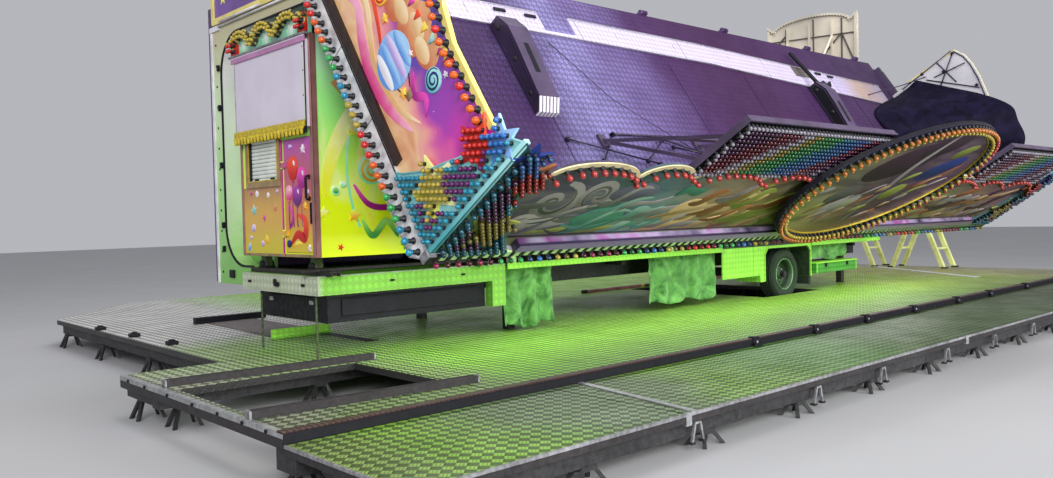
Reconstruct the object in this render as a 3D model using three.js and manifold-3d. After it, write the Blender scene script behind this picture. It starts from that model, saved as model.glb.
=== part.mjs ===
// A children's track ride built on a semi-trailer, half set up on its showground.
// Millimetres, +Z up. +X runs from the trailer's front to its rear, +Y away from the side
// where the folded roof wing hangs. The drawing's own zero is the near front corner of the
// gooseneck step; the whole ride is then shifted so that its footprint is centred on the origin.
import * as THREE from 'three';
import { mergeVertices } from 'three/addons/utils/BufferGeometryUtils.js';
import Module from 'manifold-3d';

const wasm = await Module();
wasm.setup();

// Meeting faces of separate pieces keep this gap
const GAP = 0.3;

// Footprint of the decking
const X_LEFT = -1550;
const X_RIGHT = 15400;
const Y_NEAR = -3660;
const Y_FAR = 8200;

// Trailer
const WIDTH = 2550;
const PORTAL_X = 140;
const PORTAL_DEPTH = 200;
const REAR_X = 11350;
const FLOOR_TOP = 1150;
const FLOOR_PLATE = 20;
const ROOF_BOTTOM = 3920;
const ROOF_TOP = 4150;
const STEP_LENGTH = 2320;
const STEP_WIDTH = 1610;
const STEP_BOTTOM = 970;
const SKIRT_BOTTOM = 690;
const SKIRT_START = 6450;
const ARCH = { x0: 7540, x1: 8880, rim: 120, chamfer: 90, head: 1100, foot: 590 };
const TOOLBOX = { x0: 8950, x1: 10320, bottom: 630, top: 800 };

// Roof wing: hinge line above the roof's near edge, folded down by WING_DROP
const HINGE_Y = 5;
const HINGE_Z = 4270;
const WING_DROP = 56;
const WING_LENGTH = 3420;
const WING_LEFT = -100;
const WING_RIGHT = 11000;
const WING_THICK = 100;
const COVER_THICK = 20;
const HINGES_X = [600, 2700, 4800, 6600, 8900, 10500];
const PIN_RADIUS = 16;
const LUG_RADIUS = 32;
const LUG_OFFSET = 52.5;
const BARREL_HALF = 40;
const BAND_THICK = 8;
const STRIP_DEPTH = 85;
const BEAM_WIDTH = 35;
const BOARD = 30;
const FASCIA_SPLIT = 5440;
const FASCIA_PEAK = 1120;
const FASCIA_VALLEY = 950;
const SCALLOPS_LEFT = [430, 1430, 2160, 3220, 4140, 5130];
const SCALLOPS_RIGHT = [5850, 6450, 7120, 8390, 9340, 10500];
const LEDGE = { x0: 720, x1: 10180, depth: 80, t0: 15, t1: 105 };
const OVAL = { x: 5530, t: 1080, halfLength: 1630, halfHeight: 1030, tilt: 12, s: -120 };
const ARMS = [{ x: 1830, head: 2675 }, { x: 7980, head: 2480 }];
const ARM_WIDTH = 260;
const ARM_LENGTH = 1200;
const ORNAMENTS = [[2050, 4750], [8000, 10600]];

// Booth
const BOOTH_LENGTH = 2300;
const BOOTH_Y0 = 10;
const BOOTH_Y1 = 1540;
const BOOTH_BOTTOM = 1330;
const BOOTH_TOP = 3420;
const BOOTH_WALL = 40;
const DOOR = { y0: 60, y1: 608, z0: 1370, z1: 2475 };
const DOOR_AXIS = { x: -14, y: 612 };
const WINDOW = { y0: 700, y1: 1360, z0: 2080, z1: 2520 };

// Wheels
const WHEEL_X = 8240;
const WHEEL_Z = 660;
const TYRE_RADIUS = 400;
const TYRE_WIDTH = 260;
const STUB_RADIUS = 44.5;
const BORE_RADIUS = 45;

// Decking
const DECK_TOP = 360;
const OUTER_TOP = 290;
const DECK_THICK = 60;
const SEAM_Y = -2325;
const PANEL_GAP = 10;
const DECK_SPLIT_X = 7300;
const BEARER_DEPTH = 120;
const TRESTLE_PITCH = 1250;
const HATCH = { x0: -1450, x1: 170, y0: -1760, y1: -330 };
const STEP_NOTCH_Y = 730;

// Stands beside the rear
const REAR_STANDS = { x0: 14800, x1: 15350, y: [840, 2350], half: 580, top: 1750, leg: 85 };

const PAINT = {
  tread: { color: 0xa9b0ab, roughness: 0.42, metalness: 0.85 },
  steel: { color: 0x2e3033, roughness: 0.6, metalness: 0.7 },
  white: { color: 0xe6e4e8, roughness: 0.5, metalness: 0.1 },
  violet: { color: 0x6f5a8c, roughness: 0.45, metalness: 0.7 },
  mint: { color: 0xb7e58f, roughness: 0.5, metalness: 0.0 },
  lime: { color: 0xc8ee2a, roughness: 0.45, metalness: 0.0 },
  gold: { color: 0xc9a52c, roughness: 0.4, metalness: 0.3 },
  aqua: { color: 0x4fa6ad, roughness: 0.45, metalness: 0.1 },
  purple: { color: 0x5b3a8e, roughness: 0.35, metalness: 0.2 },
  picture: { color: 0xc06a9a, roughness: 0.45, metalness: 0.0 },
  painted: { color: 0x9a9a7c, roughness: 0.45, metalness: 0.0 },
  rubber: { color: 0x1b1c1d, roughness: 0.85, metalness: 0.0 },
  tarp: { color: 0x2f5a2d, roughness: 0.8, metalness: 0.0 },
  black: { color: 0x141416, roughness: 0.75, metalness: 0.0 },
  cream: { color: 0xe2d9a8, roughness: 0.6, metalness: 0.1 },
  pink: { color: 0xb06a6c, roughness: 0.6, metalness: 0.0 },
};

// Solids and the geometry that shows them

function toSolid(geometry) {
  const bare = geometry.clone();
  bare.deleteAttribute('normal');
  bare.deleteAttribute('uv');
  const merged = mergeVertices(bare, 1e-3);
  return new wasm.Manifold(new wasm.Mesh({
    numProp: 3,
    vertProperties: new Float32Array(merged.attributes.position.array),
    triVerts: new Uint32Array(merged.index.array),
  }));
}

function toGeometry(solid) {
  const mesh = solid.getMesh();
  const geometry = new THREE.BufferGeometry();
  geometry.setAttribute('position', new THREE.BufferAttribute(mesh.vertProperties, 3));
  geometry.setIndex(new THREE.BufferAttribute(mesh.triVerts, 1));
  geometry.computeVertexNormals();
  return geometry;
}

function fuse(geometries) {
  return geometries.map(toSolid).reduce((whole, next) => whole.add(next));
}

function joined(...geometries) {
  return toGeometry(fuse(geometries.flat()));
}

function cut(bodies, tools) {
  return toGeometry(fuse(bodies).subtract(fuse(tools)));
}

function box(x0, x1, y0, y1, z0, z1) {
  const geometry = new THREE.BoxGeometry(x1 - x0, y1 - y0, z1 - z0);
  return geometry.translate((x0 + x1) / 2, (y0 + y1) / 2, (z0 + z1) / 2);
}

function extruded(points, depth, holes = []) {
  const shape = new THREE.Shape(points.map(([a, b]) => new THREE.Vector2(a, b)));
  for (const hole of holes) {
    shape.holes.push(new THREE.Path(hole.map(([a, b]) => new THREE.Vector2(a, b))));
  }
  return new THREE.ExtrudeGeometry(shape, { depth, bevelEnabled: false, steps: 1 });
}

// Outline of (y, z) points run along X
function prismX(points, x0, x1) {
  const turn = new THREE.Matrix4().makeBasis(
    new THREE.Vector3(0, 1, 0), new THREE.Vector3(0, 0, 1), new THREE.Vector3(1, 0, 0));
  return extruded(points, x1 - x0).applyMatrix4(turn).translate(x0, 0, 0);
}

// Outline of (x, z) points run along Y
function prismY(points, y0, y1) {
  const turn = new THREE.Matrix4().makeBasis(
    new THREE.Vector3(1, 0, 0), new THREE.Vector3(0, 0, 1), new THREE.Vector3(0, -1, 0));
  return extruded(points, y1 - y0).applyMatrix4(turn).translate(0, y1, 0);
}

// Outline of (x, y) points run along Z
function prismZ(points, z0, z1, holes = []) {
  return extruded(points, z1 - z0, holes).translate(0, 0, z0);
}

// Square or round bar between two points
function bar(from, to, size, sides = 4) {
  const a = new THREE.Vector3(...from);
  const b = new THREE.Vector3(...to);
  const length = a.distanceTo(b);
  const geometry = sides === 4
    ? new THREE.BoxGeometry(size, length, size)
    : new THREE.CylinderGeometry(size / 2, size / 2, length, sides);
  const turn = new THREE.Quaternion().setFromUnitVectors(
    new THREE.Vector3(0, 1, 0), b.clone().sub(a).normalize());
  geometry.applyQuaternion(turn);
  const middle = a.add(b).multiplyScalar(0.5);
  return geometry.translate(middle.x, middle.y, middle.z);
}

// Points of an arc about (a, b), from one angle to another in degrees
function arc(a, b, radius, from, to, steps, radiusB = radius) {
  const points = [];
  for (let i = 0; i <= steps; i += 1) {
    const angle = THREE.MathUtils.degToRad(from + ((to - from) * i) / steps);
    points.push([a + radius * Math.cos(angle), b + radiusB * Math.sin(angle)]);
  }
  return points;
}

function part(name, geometry, paint) {
  const mesh = new THREE.Mesh(geometry, new THREE.MeshStandardMaterial(PAINT[paint]));
  mesh.name = name;
  return mesh;
}

// Trailer

function chassis() {
  const beamZ = 850;
  const plateBottom = FLOOR_TOP - FLOOR_PLATE;
  const pieces = [
    box(STEP_LENGTH + GAP, REAR_X, 0, WIDTH, plateBottom, FLOOR_TOP),
    box(PORTAL_X + PORTAL_DEPTH + GAP, STEP_LENGTH + 20, STEP_WIDTH + GAP, WIDTH - 20, 990, FLOOR_TOP),
    box(STEP_LENGTH + GAP, REAR_X - 50, 500, 620, beamZ, plateBottom + 5),
    box(STEP_LENGTH + GAP, REAR_X - 50, 1930, 2050, beamZ, plateBottom + 5),
  ];
  for (const x of [3000, 4500, 6000, 7300, 9300, 10700]) {
    pieces.push(box(x, x + 80, 200, WIDTH - 200, plateBottom - 120, plateBottom + 5));
  }
  for (const x of [2650, 10550]) {
    for (const y of [350, 2100]) {
      pieces.push(box(x, x + 100, y, y + 100, 20, plateBottom + 5));
      pieces.push(box(x - 90, x + 190, y - 90, y + 190, 0, 30));
    }
  }
  for (const y of [520, 1950]) {
    pieces.push(box(WHEEL_X - 250, WHEEL_X + 250, y, y + 80, WHEEL_Z - 40, beamZ + 5));
  }
  const inner = 70 + TYRE_WIDTH + 10;
  pieces.push(bar([WHEEL_X, inner, WHEEL_Z], [WHEEL_X, WIDTH - inner, WHEEL_Z], 150, 12));
  pieces.push(bar([WHEEL_X, 80, WHEEL_Z], [WHEEL_X, WIDTH - 80, WHEEL_Z], 2 * STUB_RADIUS, 24));
  return part('chassis', joined(pieces), 'steel');
}

function stepPlatform() {
  const railTop = FLOOR_TOP + 35;
  const pieces = [
    box(0, STEP_LENGTH, 0, STEP_WIDTH, STEP_BOTTOM, FLOOR_TOP),
    box(2130, STEP_LENGTH, 0, 120, SKIRT_BOTTOM, STEP_BOTTOM + 5),
    bar([60, 150, STEP_BOTTOM + 5], [60, 150, DECK_TOP + GAP], 24, 8),
    bar([60, 1300, STEP_BOTTOM + 5], [60, 1300, DECK_TOP + GAP], 24, 8),
  ];
  for (const x of [100, 1900]) {
    pieces.push(box(x, x + 60, -80, 1590, FLOOR_TOP - 5, railTop));
    for (const y of [200, 1250]) {
      pieces.push(box(x - 10, x + 70, y, y + 90, railTop - 5, BOOTH_BOTTOM - GAP));
    }
  }
  return part('step_platform', joined(pieces), 'tread');
}

function stepRecessBox() {
  return part('step_recess_box', box(150, 2100, 100, 1500, SKIRT_BOTTOM, STEP_BOTTOM - GAP), 'black');
}

function portal() {
  const radius = 450;
  const inner = 2300;
  const head = 3780;
  const sill = 1200;
  const outline = [
    [STEP_WIDTH + GAP, 990], [WIDTH, 990], [WIDTH, ROOF_BOTTOM], [0, ROOF_BOTTOM], [0, head],
    ...arc(inner - radius, head - radius, radius, 90, 0, 6),
    ...arc(inner - radius, sill + radius, radius, 0, -90, 6),
    [STEP_WIDTH + GAP, sill],
  ];
  return part('portal', prismX(outline, PORTAL_X, PORTAL_X + PORTAL_DEPTH), 'mint');
}

function portalPanel() {
  const x = PORTAL_X + PORTAL_DEPTH + GAP;
  return part('portal_panel',
    box(x, x + 40, BOOTH_Y1 + 15, WIDTH - 50, FLOOR_TOP + GAP, ROOF_BOTTOM - GAP), 'mint');
}

function nearSideFrame() {
  const front = PORTAL_X + PORTAL_DEPTH + GAP;
  const pieces = [box(front, REAR_X - 250 - GAP, 10, 90, 3820, ROOF_BOTTOM - GAP)];
  for (const x of [2420, 5300, 8900]) {
    pieces.push(box(x, x + 80, 10, 90, FLOOR_TOP + GAP, 3825));
  }
  return part('near_side_frame', joined(pieces), 'white');
}

function rearPortal() {
  const ring = box(REAR_X - 250, REAR_X, 0, WIDTH, FLOOR_TOP + GAP, ROOF_BOTTOM - GAP);
  const opening = box(REAR_X - 300, REAR_X + 50, 200, WIDTH - 200, 1250, 3700);
  return part('rear_portal', cut([ring], [opening]), 'mint');
}

function roof() {
  const pieces = [box(PORTAL_X + 65, REAR_X, 0, WIDTH, ROOF_BOTTOM, ROOF_TOP)];
  for (const x of HINGES_X) {
    for (const middle of [x - LUG_OFFSET, x + LUG_OFFSET]) {
      pieces.push(box(middle - 10, middle + 10, HINGE_Y + 12, HINGE_Y + 55, ROOF_TOP - 5, HINGE_Z));
      pieces.push(bar([middle - 10, HINGE_Y, HINGE_Z], [middle + 10, HINGE_Y, HINGE_Z],
        2 * LUG_RADIUS, 24));
    }
    pieces.push(bar([x - 60, HINGE_Y, HINGE_Z], [x + 60, HINGE_Y, HINGE_Z], 2 * PIN_RADIUS, 24));
  }
  return part('roof', joined(pieces), 'violet');
}

// Gable outline: straight sides, a dip inside each corner and an arch between
function gableOutline(y0, y1, z0, corner, top) {
  const dip = 130;
  const middle = (y0 + y1) / 2;
  const half = (y1 - y0) / 2 - dip;
  const foot = corner - 90;
  return [
    [y0, z0], [y1, z0], [y1, corner],
    ...arc(middle, foot, half, 0, 180, 12, top - foot),
    [y0, corner],
  ];
}

function frontGable() {
  const outline = gableOutline(60, 2490, ROOF_BOTTOM + GAP, 4960, 5340);
  return part('front_gable', prismX(outline, PORTAL_X, PORTAL_X + 60), 'purple');
}

function rearGable() {
  const x = REAR_X - 60;
  const pieces = [prismX(gableOutline(350, 2200, ROOF_TOP + GAP, 5250, 5350), x, x + 40)];
  for (const y of [360, 820, 1280, 1740, 2150]) {
    pieces.push(box(x - 40, x + 5, y, y + 40, ROOF_TOP + GAP, 5180));
  }
  for (const y of [840, 1760]) {
    pieces.push(bar([x - 20, y, 4900], [x - 600, y, ROOF_TOP + 30], 36));
    pieces.push(box(x - 680, x - 540, y - 40, y + 40, ROOF_TOP + GAP, ROOF_TOP + 40));
  }
  return part('rear_gable', joined(pieces), 'white');
}

function farWing() {
  const y = WIDTH + GAP;
  return part('far_wing', joined(
    box(150, REAR_X - 50, y, y + 90, 1000, ROOF_TOP),
    box(350, REAR_X - 250, y + 85, y + 135, 1180, 3600),
  ), 'violet');
}

// Tread-plate skirt with the deep box of the wheel arch
function wheelSkirt() {
  const top = FLOOR_TOP - FLOOR_PLATE - GAP;
  const { x0, x1, rim, chamfer, head, foot } = ARCH;
  const outline = [
    [x0 - rim, foot], [x0, foot], [x0, head - chamfer], [x0 + chamfer, head],
    [x1 - chamfer, head], [x1, head - chamfer], [x1, foot], [x1 + 40, foot],
    [x1 + 40, top], [x0 - rim, top],
  ];
  return part('wheel_skirt', joined(
    box(SKIRT_START, x0 - rim + 5, 0, 20, SKIRT_BOTTOM, top),
    prismY(outline, 0, 420),
  ), 'tread');
}

// Tyre, rim and hub as one body turned about Y, with a bore for the stub axle
function wheel(name, yOuter, side) {
  const half = TYRE_WIDTH / 2;
  const profile = [
    [BORE_RADIUS, -half + 60], [TYRE_RADIUS - 150, -half + 40], [TYRE_RADIUS - 140, -half],
    [TYRE_RADIUS - 40, -half], [TYRE_RADIUS, -half + 40], [TYRE_RADIUS, half - 40],
    [TYRE_RADIUS - 40, half], [TYRE_RADIUS - 140, half], [TYRE_RADIUS - 150, half - 90],
    [BORE_RADIUS + 70, half - 120], [BORE_RADIUS + 70, half - 60], [BORE_RADIUS, half - 60],
    [BORE_RADIUS, -half + 60],
  ];
  const points = profile.map(([r, y]) => new THREE.Vector2(r, -side * y));
  if (side > 0) points.reverse();
  const mesh = part(name, new THREE.LatheGeometry(points, 24), 'rubber');
  mesh.position.set(WHEEL_X, yOuter + side * half, WHEEL_Z);
  return mesh;
}

function toolbox() {
  const { x0, x1, bottom, top } = TOOLBOX;
  const pieces = [box(x0, x1, -60, 500, bottom, top)];
  for (const x of [x0 + 150, x1 - 200]) {
    pieces.push(box(x, x + 50, 400, 480, top - 5, FLOOR_TOP - FLOOR_PLATE - GAP));
  }
  return part('toolbox', joined(pieces), 'tread');
}

// Hanging tarpaulins under the trailer floor, as wavy slabs
function hangingTarp(name, x0, x1, y0, bottom, folds) {
  const steps = 6 * folds;
  const near = [];
  const far = [];
  for (let i = 0; i <= steps; i += 1) {
    const x = x0 + ((x1 - x0) * i) / steps;
    const y = y0 + 30 * Math.sin((2 * Math.PI * folds * i) / steps);
    near.push([x, y]);
    far.push([x, y + 25]);
  }
  const outline = [...near, ...far.reverse()];
  return part(name, prismZ(outline, bottom, FLOOR_TOP - FLOOR_PLATE - GAP), 'tarp');
}

// Booth

function boothBody() {
  const shell = box(0, BOOTH_LENGTH, BOOTH_Y0, BOOTH_Y1, BOOTH_BOTTOM, BOOTH_TOP);
  const w = BOOTH_WALL;
  const room = box(w, BOOTH_LENGTH - w, BOOTH_Y0 + w, BOOTH_Y1 - w, BOOTH_BOTTOM + w, BOOTH_TOP - w);
  const door = box(-10, w + 10, DOOR.y0, DOOR.y1, DOOR.z0, DOOR.z1);
  const window = box(-10, w + 10, WINDOW.y0, WINDOW.y1, WINDOW.z0, WINDOW.z1);
  const shelled = fuse([shell]).subtract(fuse([room, door, window]));
  const pins = [];
  for (const z of [1560, 2230]) {
    for (const end of [z - 36, z + 26]) {
      pins.push(box(DOOR_AXIS.x - 10, 5, DOOR_AXIS.y - 2, DOOR_AXIS.y + 12, end, end + 10));
    }
    pins.push(bar([DOOR_AXIS.x, DOOR_AXIS.y, z - 34], [DOOR_AXIS.x, DOOR_AXIS.y, z + 34], 10, 16));
  }
  return part('booth_body', toGeometry(shelled.add(fuse(pins))), 'lime');
}

function boothDoor() {
  const { x, y } = DOOR_AXIS;
  const bodies = [box(2, 34, DOOR.y0 + 6, DOOR.y1 - 4, DOOR.z0 + 5, DOOR.z1 - 5)];
  const bores = [];
  for (const z of [1560, 2230]) {
    bodies.push(bar([x, y, z - 25], [x, y, z + 25], 22, 16));
    bodies.push(box(x - 8, 3, y - 80, y - 4, z - 25, z + 25));
    bodies.push(box(-3, 3, y - 80, y - 14, z - 25, z + 25));
    bores.push(bar([x, y, z - 30], [x, y, z + 30], 10.8, 16));
  }
  bodies.push(box(-35, 3, 95, 110, 1880, 1895));
  bodies.push(box(-35, 3, 95, 110, 2085, 2100));
  bodies.push(box(-45, -30, 95, 110, 1880, 2100));
  return part('booth_door', cut(bodies, bores), 'gold');
}

function boothWindowFrame() {
  const rim = box(-15, -GAP, WINDOW.y0 - 40, WINDOW.y1 + 40, WINDOW.z0 - 40, WINDOW.z1 + 35);
  const hole = box(-20, 5, WINDOW.y0 + 15, WINDOW.y1 - 15, WINDOW.z0 + 15, WINDOW.z1 - 15);
  return part('booth_window_frame', cut([rim], [hole]), 'gold');
}

function boothShutter() {
  return part('booth_shutter', box(5, 25, WINDOW.y0 + GAP, WINDOW.y1 - GAP,
    WINDOW.z0 + GAP, WINDOW.z1 - GAP), 'white');
}

function boothSignPanel() {
  return part('booth_sign_panel', box(-45, -GAP, 30, 1550, WINDOW.z1 + 40, 3370), 'white');
}

function boothValance() {
  const y0 = 40;
  const y1 = 1540;
  const teeth = 20;
  const pitch = (y1 - y0) / teeth;
  const lower = [];
  for (let i = 0; i < teeth; i += 1) {
    lower.push([y0 + i * pitch, 2515], [y0 + (i + 0.5) * pitch, 2482]);
  }
  lower.push([y1, 2515]);
  const outline = [...lower, [y1, 2620], [y0, 2620]];
  return part('booth_valance', prismX(outline, -75, -45 - GAP), 'gold');
}

function boothCrest() {
  const z = BOOTH_TOP + GAP;
  const outline = [
    [0, z], [1640, z], [1640, z + 170],
    ...arc(1340, z + 60, 230, 25, 160, 6, 180),
    ...arc(830, z + 55, 230, 20, 160, 6, 190),
    ...arc(310, z + 60, 240, 20, 155, 6, 185),
    [0, z + 190],
  ];
  return part('booth_crest', prismX(outline, -20, 20), 'gold');
}

// Roof wing, drawn as it lies when raised: origin on the hinge line, -Y outwards, +Z up.
// s is measured inwards from the wing's outer edge.

const atS = (s) => s - WING_LENGTH;

function nearWing() {
  const x0 = WING_LEFT + BEAM_WIDTH + BOARD + GAP;
  const x1 = WING_RIGHT - BEAM_WIDTH - BOARD - GAP;
  const deepEnd = -190;
  const bodies = [
    box(x0, x1, atS(BOARD + GAP), deepEnd, -WING_THICK, 0),
    box(x0, x1, deepEnd - 5, -50, -COVER_THICK, 0),
  ];
  for (let x = x0 + 400; x < x1; x += 1650) {
    bodies.push(box(x, x + 80, atS(200), atS(2600), -WING_THICK - 100, -WING_THICK + 5));
  }
  const bores = [];
  for (const x of HINGES_X) {
    bodies.push(bar([x - BARREL_HALF, 0, 0], [x + BARREL_HALF, 0, 0], 2 * LUG_RADIUS, 24));
    bodies.push(box(x - BARREL_HALF, x + BARREL_HALF, deepEnd - 10, -25, -30, 0));
    bores.push(bar([x - 60, 0, 0], [x + 60, 0, 0], 2 * PIN_RADIUS + 1, 24));
  }
  return part('near_wing', cut(bodies, bores), 'violet');
}

// Bright tread band below the top edge, notched above the lift arms
function wingBand() {
  const outline = [
    [0, atS(2710)], [5600, atS(2640)], [10600, atS(2350)],
    [10600, atS(2800)], [5600, atS(2995)], [0, atS(3030)],
  ];
  const notches = [
    box(2670, 3150, atS(2740), atS(3100), -5, 2 * BAND_THICK),
    box(7850, 8350, atS(2700), atS(2920), -5, 2 * BAND_THICK),
  ];
  return part('wing_band', cut([prismZ(outline, GAP, BAND_THICK)], notches), 'tread');
}

function liftArm(name, { x, head }) {
  const foot = head - ARM_LENGTH;
  const outline = [
    [atS(foot), GAP], [atS(head), GAP], [atS(head), 140], [atS(head - 200), 210],
    [atS(head - 450), 200], [atS(foot + 120), 150], [atS(foot), 60],
  ];
  return part(name, prismX(outline, x, x + ARM_WIDTH), 'black');
}

// Bulb strip round three sides of the wing, its outer corners cut off
function borderStrip() {
  const side = [
    [atS(-40), -STRIP_DEPTH], [atS(90), -250], [atS(2980), -250], [atS(2980), -GAP],
    [atS(-40), -GAP],
  ];
  return part('border_strip', joined(
    box(WING_LEFT, WING_RIGHT, atS(-40), atS(BOARD), -STRIP_DEPTH, -GAP),
    prismX(side, WING_LEFT, WING_LEFT + BEAM_WIDTH - GAP),
    prismX(side, WING_RIGHT - BEAM_WIDTH + GAP, WING_RIGHT),
  ), 'white');
}

// Picture board at one end of the wing, with the dark edge beam on its outer face
function endBoard(name, x, beamX, crest) {
  const root = 2620;
  const outline = [
    [atS(BOARD + GAP), -WING_THICK], [atS(root), -WING_THICK], ...crest,
    [atS(1080), FASCIA_PEAK], [atS(300), FASCIA_PEAK], [atS(BOARD + GAP), 1080],
  ];
  return part(name, joined(
    prismX(outline, x, x + BOARD),
    box(beamX, beamX + BEAM_WIDTH, atS(800), atS(3200), 0, 90),
    box(x, x + BOARD, atS(root - 20), atS(3200), -WING_THICK, 90),
  ), 'picture');
}

// Bulb board that turns the outer corner: one leaf on the end, one on the front
function starBoard(name, endX, frontX) {
  const leaf = (start, sign) => [
    [start, GAP], [start + sign * 790, GAP], [start + sign * 690, 280],
    [start + sign * 640, 560], [start + sign * 470, 900], [start + sign * 400, 1130],
    [start + sign * 250, 1310], [start, 1345],
  ];
  const endLeaf = prismX(leaf(atS(-BOARD), 1), endX, endX + BEAM_WIDTH - GAP);
  const frontLeaf = prismY(leaf(frontX, frontX < 0 ? 1 : -1), atS(-BOARD), atS(-GAP));
  return part(name, joined(endLeaf, frontLeaf), 'aqua');
}

function frontLedge() {
  return part('front_ledge',
    box(LEDGE.x0, LEDGE.x1, atS(-LEDGE.depth), atS(-GAP), LEDGE.t0, LEDGE.t1), 'purple');
}

// Painted fascia with a scalloped crest; marks are the valleys between the scallops
function fascia(name, x0, x1, marks) {
  const rise = FASCIA_PEAK - FASCIA_VALLEY;
  const crest = [];
  for (let i = marks.length - 1; i > 0; i -= 1) {
    const middle = (marks[i] + marks[i - 1]) / 2;
    const half = (marks[i] - marks[i - 1]) / 2 - 5;
    crest.push(...arc(middle, FASCIA_VALLEY, half, 0, 180, 8, rise));
  }
  const outline = [[x0, 0], [x1, 0], [x1, FASCIA_VALLEY], ...crest, [x0, FASCIA_VALLEY]];
  return part(name, prismY(outline, atS(0), atS(BOARD)), 'painted');
}

function ovalOutline() {
  const tilt = THREE.MathUtils.degToRad(OVAL.tilt);
  return arc(0, 0, OVAL.halfLength, 0, 348.75, 31, OVAL.halfHeight).map(([a, b]) => [
    OVAL.x + a * Math.cos(tilt) - b * Math.sin(tilt),
    OVAL.t + a * Math.sin(tilt) + b * Math.cos(tilt),
  ]);
}

function ovalBoard() {
  return part('oval_board', joined(
    prismY(ovalOutline(), atS(OVAL.s), atS(-LEDGE.depth - GAP)),
    box(4900, 6100, atS(-LEDGE.depth - 1), atS(-GAP), 500, 800),
  ), 'painted');
}

// Bulb sign above the crest, held by struts from behind
function ornament(name, [x0, x1]) {
  const back = atS(70);
  const size = 36;
  const body = [[x0, 1000], [x1, 1000], [x1, 1720], [x0 + 60, 1720]];
  const pieces = [prismY(body, atS(BOARD + GAP), back)];
  for (const x of [x0 + 550, x1 - 550]) {
    pieces.push(bar([x, back - 5, 1500], [x, atS(1180), 20], size));
    pieces.push(bar([x, back - 5, 1080], [x, atS(1100), 90], size));
    pieces.push(box(x - 50, x + 50, atS(1100), atS(1260), GAP, 30));
  }
  pieces.push(bar([x0 + 550, atS(620), 770], [x1 - 550, atS(620), 770], size));
  return part(name, joined(pieces), 'purple');
}

// Tarpaulin thrown over the right end board, as a closed body that slopes down to the plates
function tarpaulin() {
  const x = WING_RIGHT - BEAM_WIDTH - BOARD - GAP;
  const base = BAND_THICK + GAP;
  const points = [
    [9620, 2100, base], [9600, 1900, base], [9750, 1600, base], [x, 620, base], [x, 2560, base],
    [x, 2560, 480], [x, 2100, 830], [x, 1660, 1160], [x, 1250, 1370], [x, 1080, 1330],
    [x, 700, 1230], [x, 450, 900],
  ];
  const body = wasm.Manifold.hull(points.map(([px, s, t]) => [px, atS(s), t]));
  return part('tarpaulin', toGeometry(body), 'black');
}

function wing() {
  const group = new THREE.Group();
  group.position.set(0, HINGE_Y, HINGE_Z);
  group.rotation.x = THREE.MathUtils.degToRad(WING_DROP);
  const leftCrest = [[atS(2620), 1180], ...arc(atS(1950), 900, 700, 22, 142, 8, 480)];
  const rightCrest = [
    [atS(2620), 360], [atS(2550), 1220], [atS(2380), 1290], [atS(2200), 1300],
    [atS(1950), 1270], [atS(1660), 1200], [atS(1400), 1150],
  ];
  const boardInset = BEAM_WIDTH + BOARD;
  group.add(
    nearWing(), wingBand(), borderStrip(), frontLedge(), ovalBoard(), tarpaulin(),
    liftArm('lift_arm_left', ARMS[0]), liftArm('lift_arm_right', ARMS[1]),
    endBoard('end_board_left', WING_LEFT + BEAM_WIDTH, WING_LEFT, leftCrest),
    endBoard('end_board_right', WING_RIGHT - boardInset, WING_RIGHT - BEAM_WIDTH, rightCrest),
    starBoard('star_board_left', WING_LEFT, WING_LEFT),
    starBoard('star_board_right', WING_RIGHT - BEAM_WIDTH + GAP, WING_RIGHT),
    fascia('fascia_left', WING_LEFT + BEAM_WIDTH, FASCIA_SPLIT, SCALLOPS_LEFT),
    fascia('fascia_right', FASCIA_SPLIT + GAP, WING_RIGHT - BEAM_WIDTH, SCALLOPS_RIGHT),
    ornament('ornament_left', ORNAMENTS[0]), ornament('ornament_right', ORNAMENTS[1]),
  );
  return group;
}

// Decking

function deckPlate(name, outline, top = DECK_TOP, holes = []) {
  return part(name, prismZ(outline, top - DECK_THICK, top, holes), 'tread');
}

function rectangle(x0, x1, y0, y1) {
  return [[x0, y0], [x1, y0], [x1, y1], [x0, y1]];
}

function deckPlates() {
  const y0 = SEAM_Y + PANEL_GAP / 2;
  const split = DECK_SPLIT_X;
  const next = split + PANEL_GAP;
  const notch = STEP_NOTCH_Y;
  const outerEdge = SEAM_Y - PANEL_GAP / 2;
  const jackHoles = (x) => [330, 2080].map((y) => rectangle(x - 20, x + 120, y, y + 140));
  const left = [[X_LEFT, y0], [200, y0], [200, -60], [-60, -60], [-60, notch], [X_LEFT, notch]];
  const farLeft = [
    [-50, -50], [split, -50], [split, Y_FAR], [950, Y_FAR], [-650, 6300],
    [-650, notch + PANEL_GAP], [-50, notch + PANEL_GAP],
  ];
  const farRight = [
    [next, -50], [7450, -50], [7450, 2650], [9040, 2650], [9040, -50], [X_RIGHT, -50],
    [X_RIGHT, Y_FAR], [next, Y_FAR],
  ];
  const hatch = rectangle(HATCH.x0, HATCH.x1, HATCH.y0, HATCH.y1);
  return [
    deckPlate('deck_left', left, DECK_TOP, [hatch]),
    deckPlate('deck_near_left', rectangle(200 + PANEL_GAP, split, y0, -60)),
    deckPlate('deck_near_right', rectangle(next, X_RIGHT, y0, -60)),
    deckPlate('deck_far_left', farLeft, DECK_TOP, jackHoles(2650)),
    deckPlate('deck_far_right', farRight, DECK_TOP, jackHoles(10550)),
    deckPlate('outer_row_left', rectangle(X_LEFT, 750, Y_NEAR, outerEdge), OUTER_TOP),
    deckPlate('outer_row_right', rectangle(760, X_RIGHT, Y_NEAR, outerEdge), OUTER_TOP),
  ];
}

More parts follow.
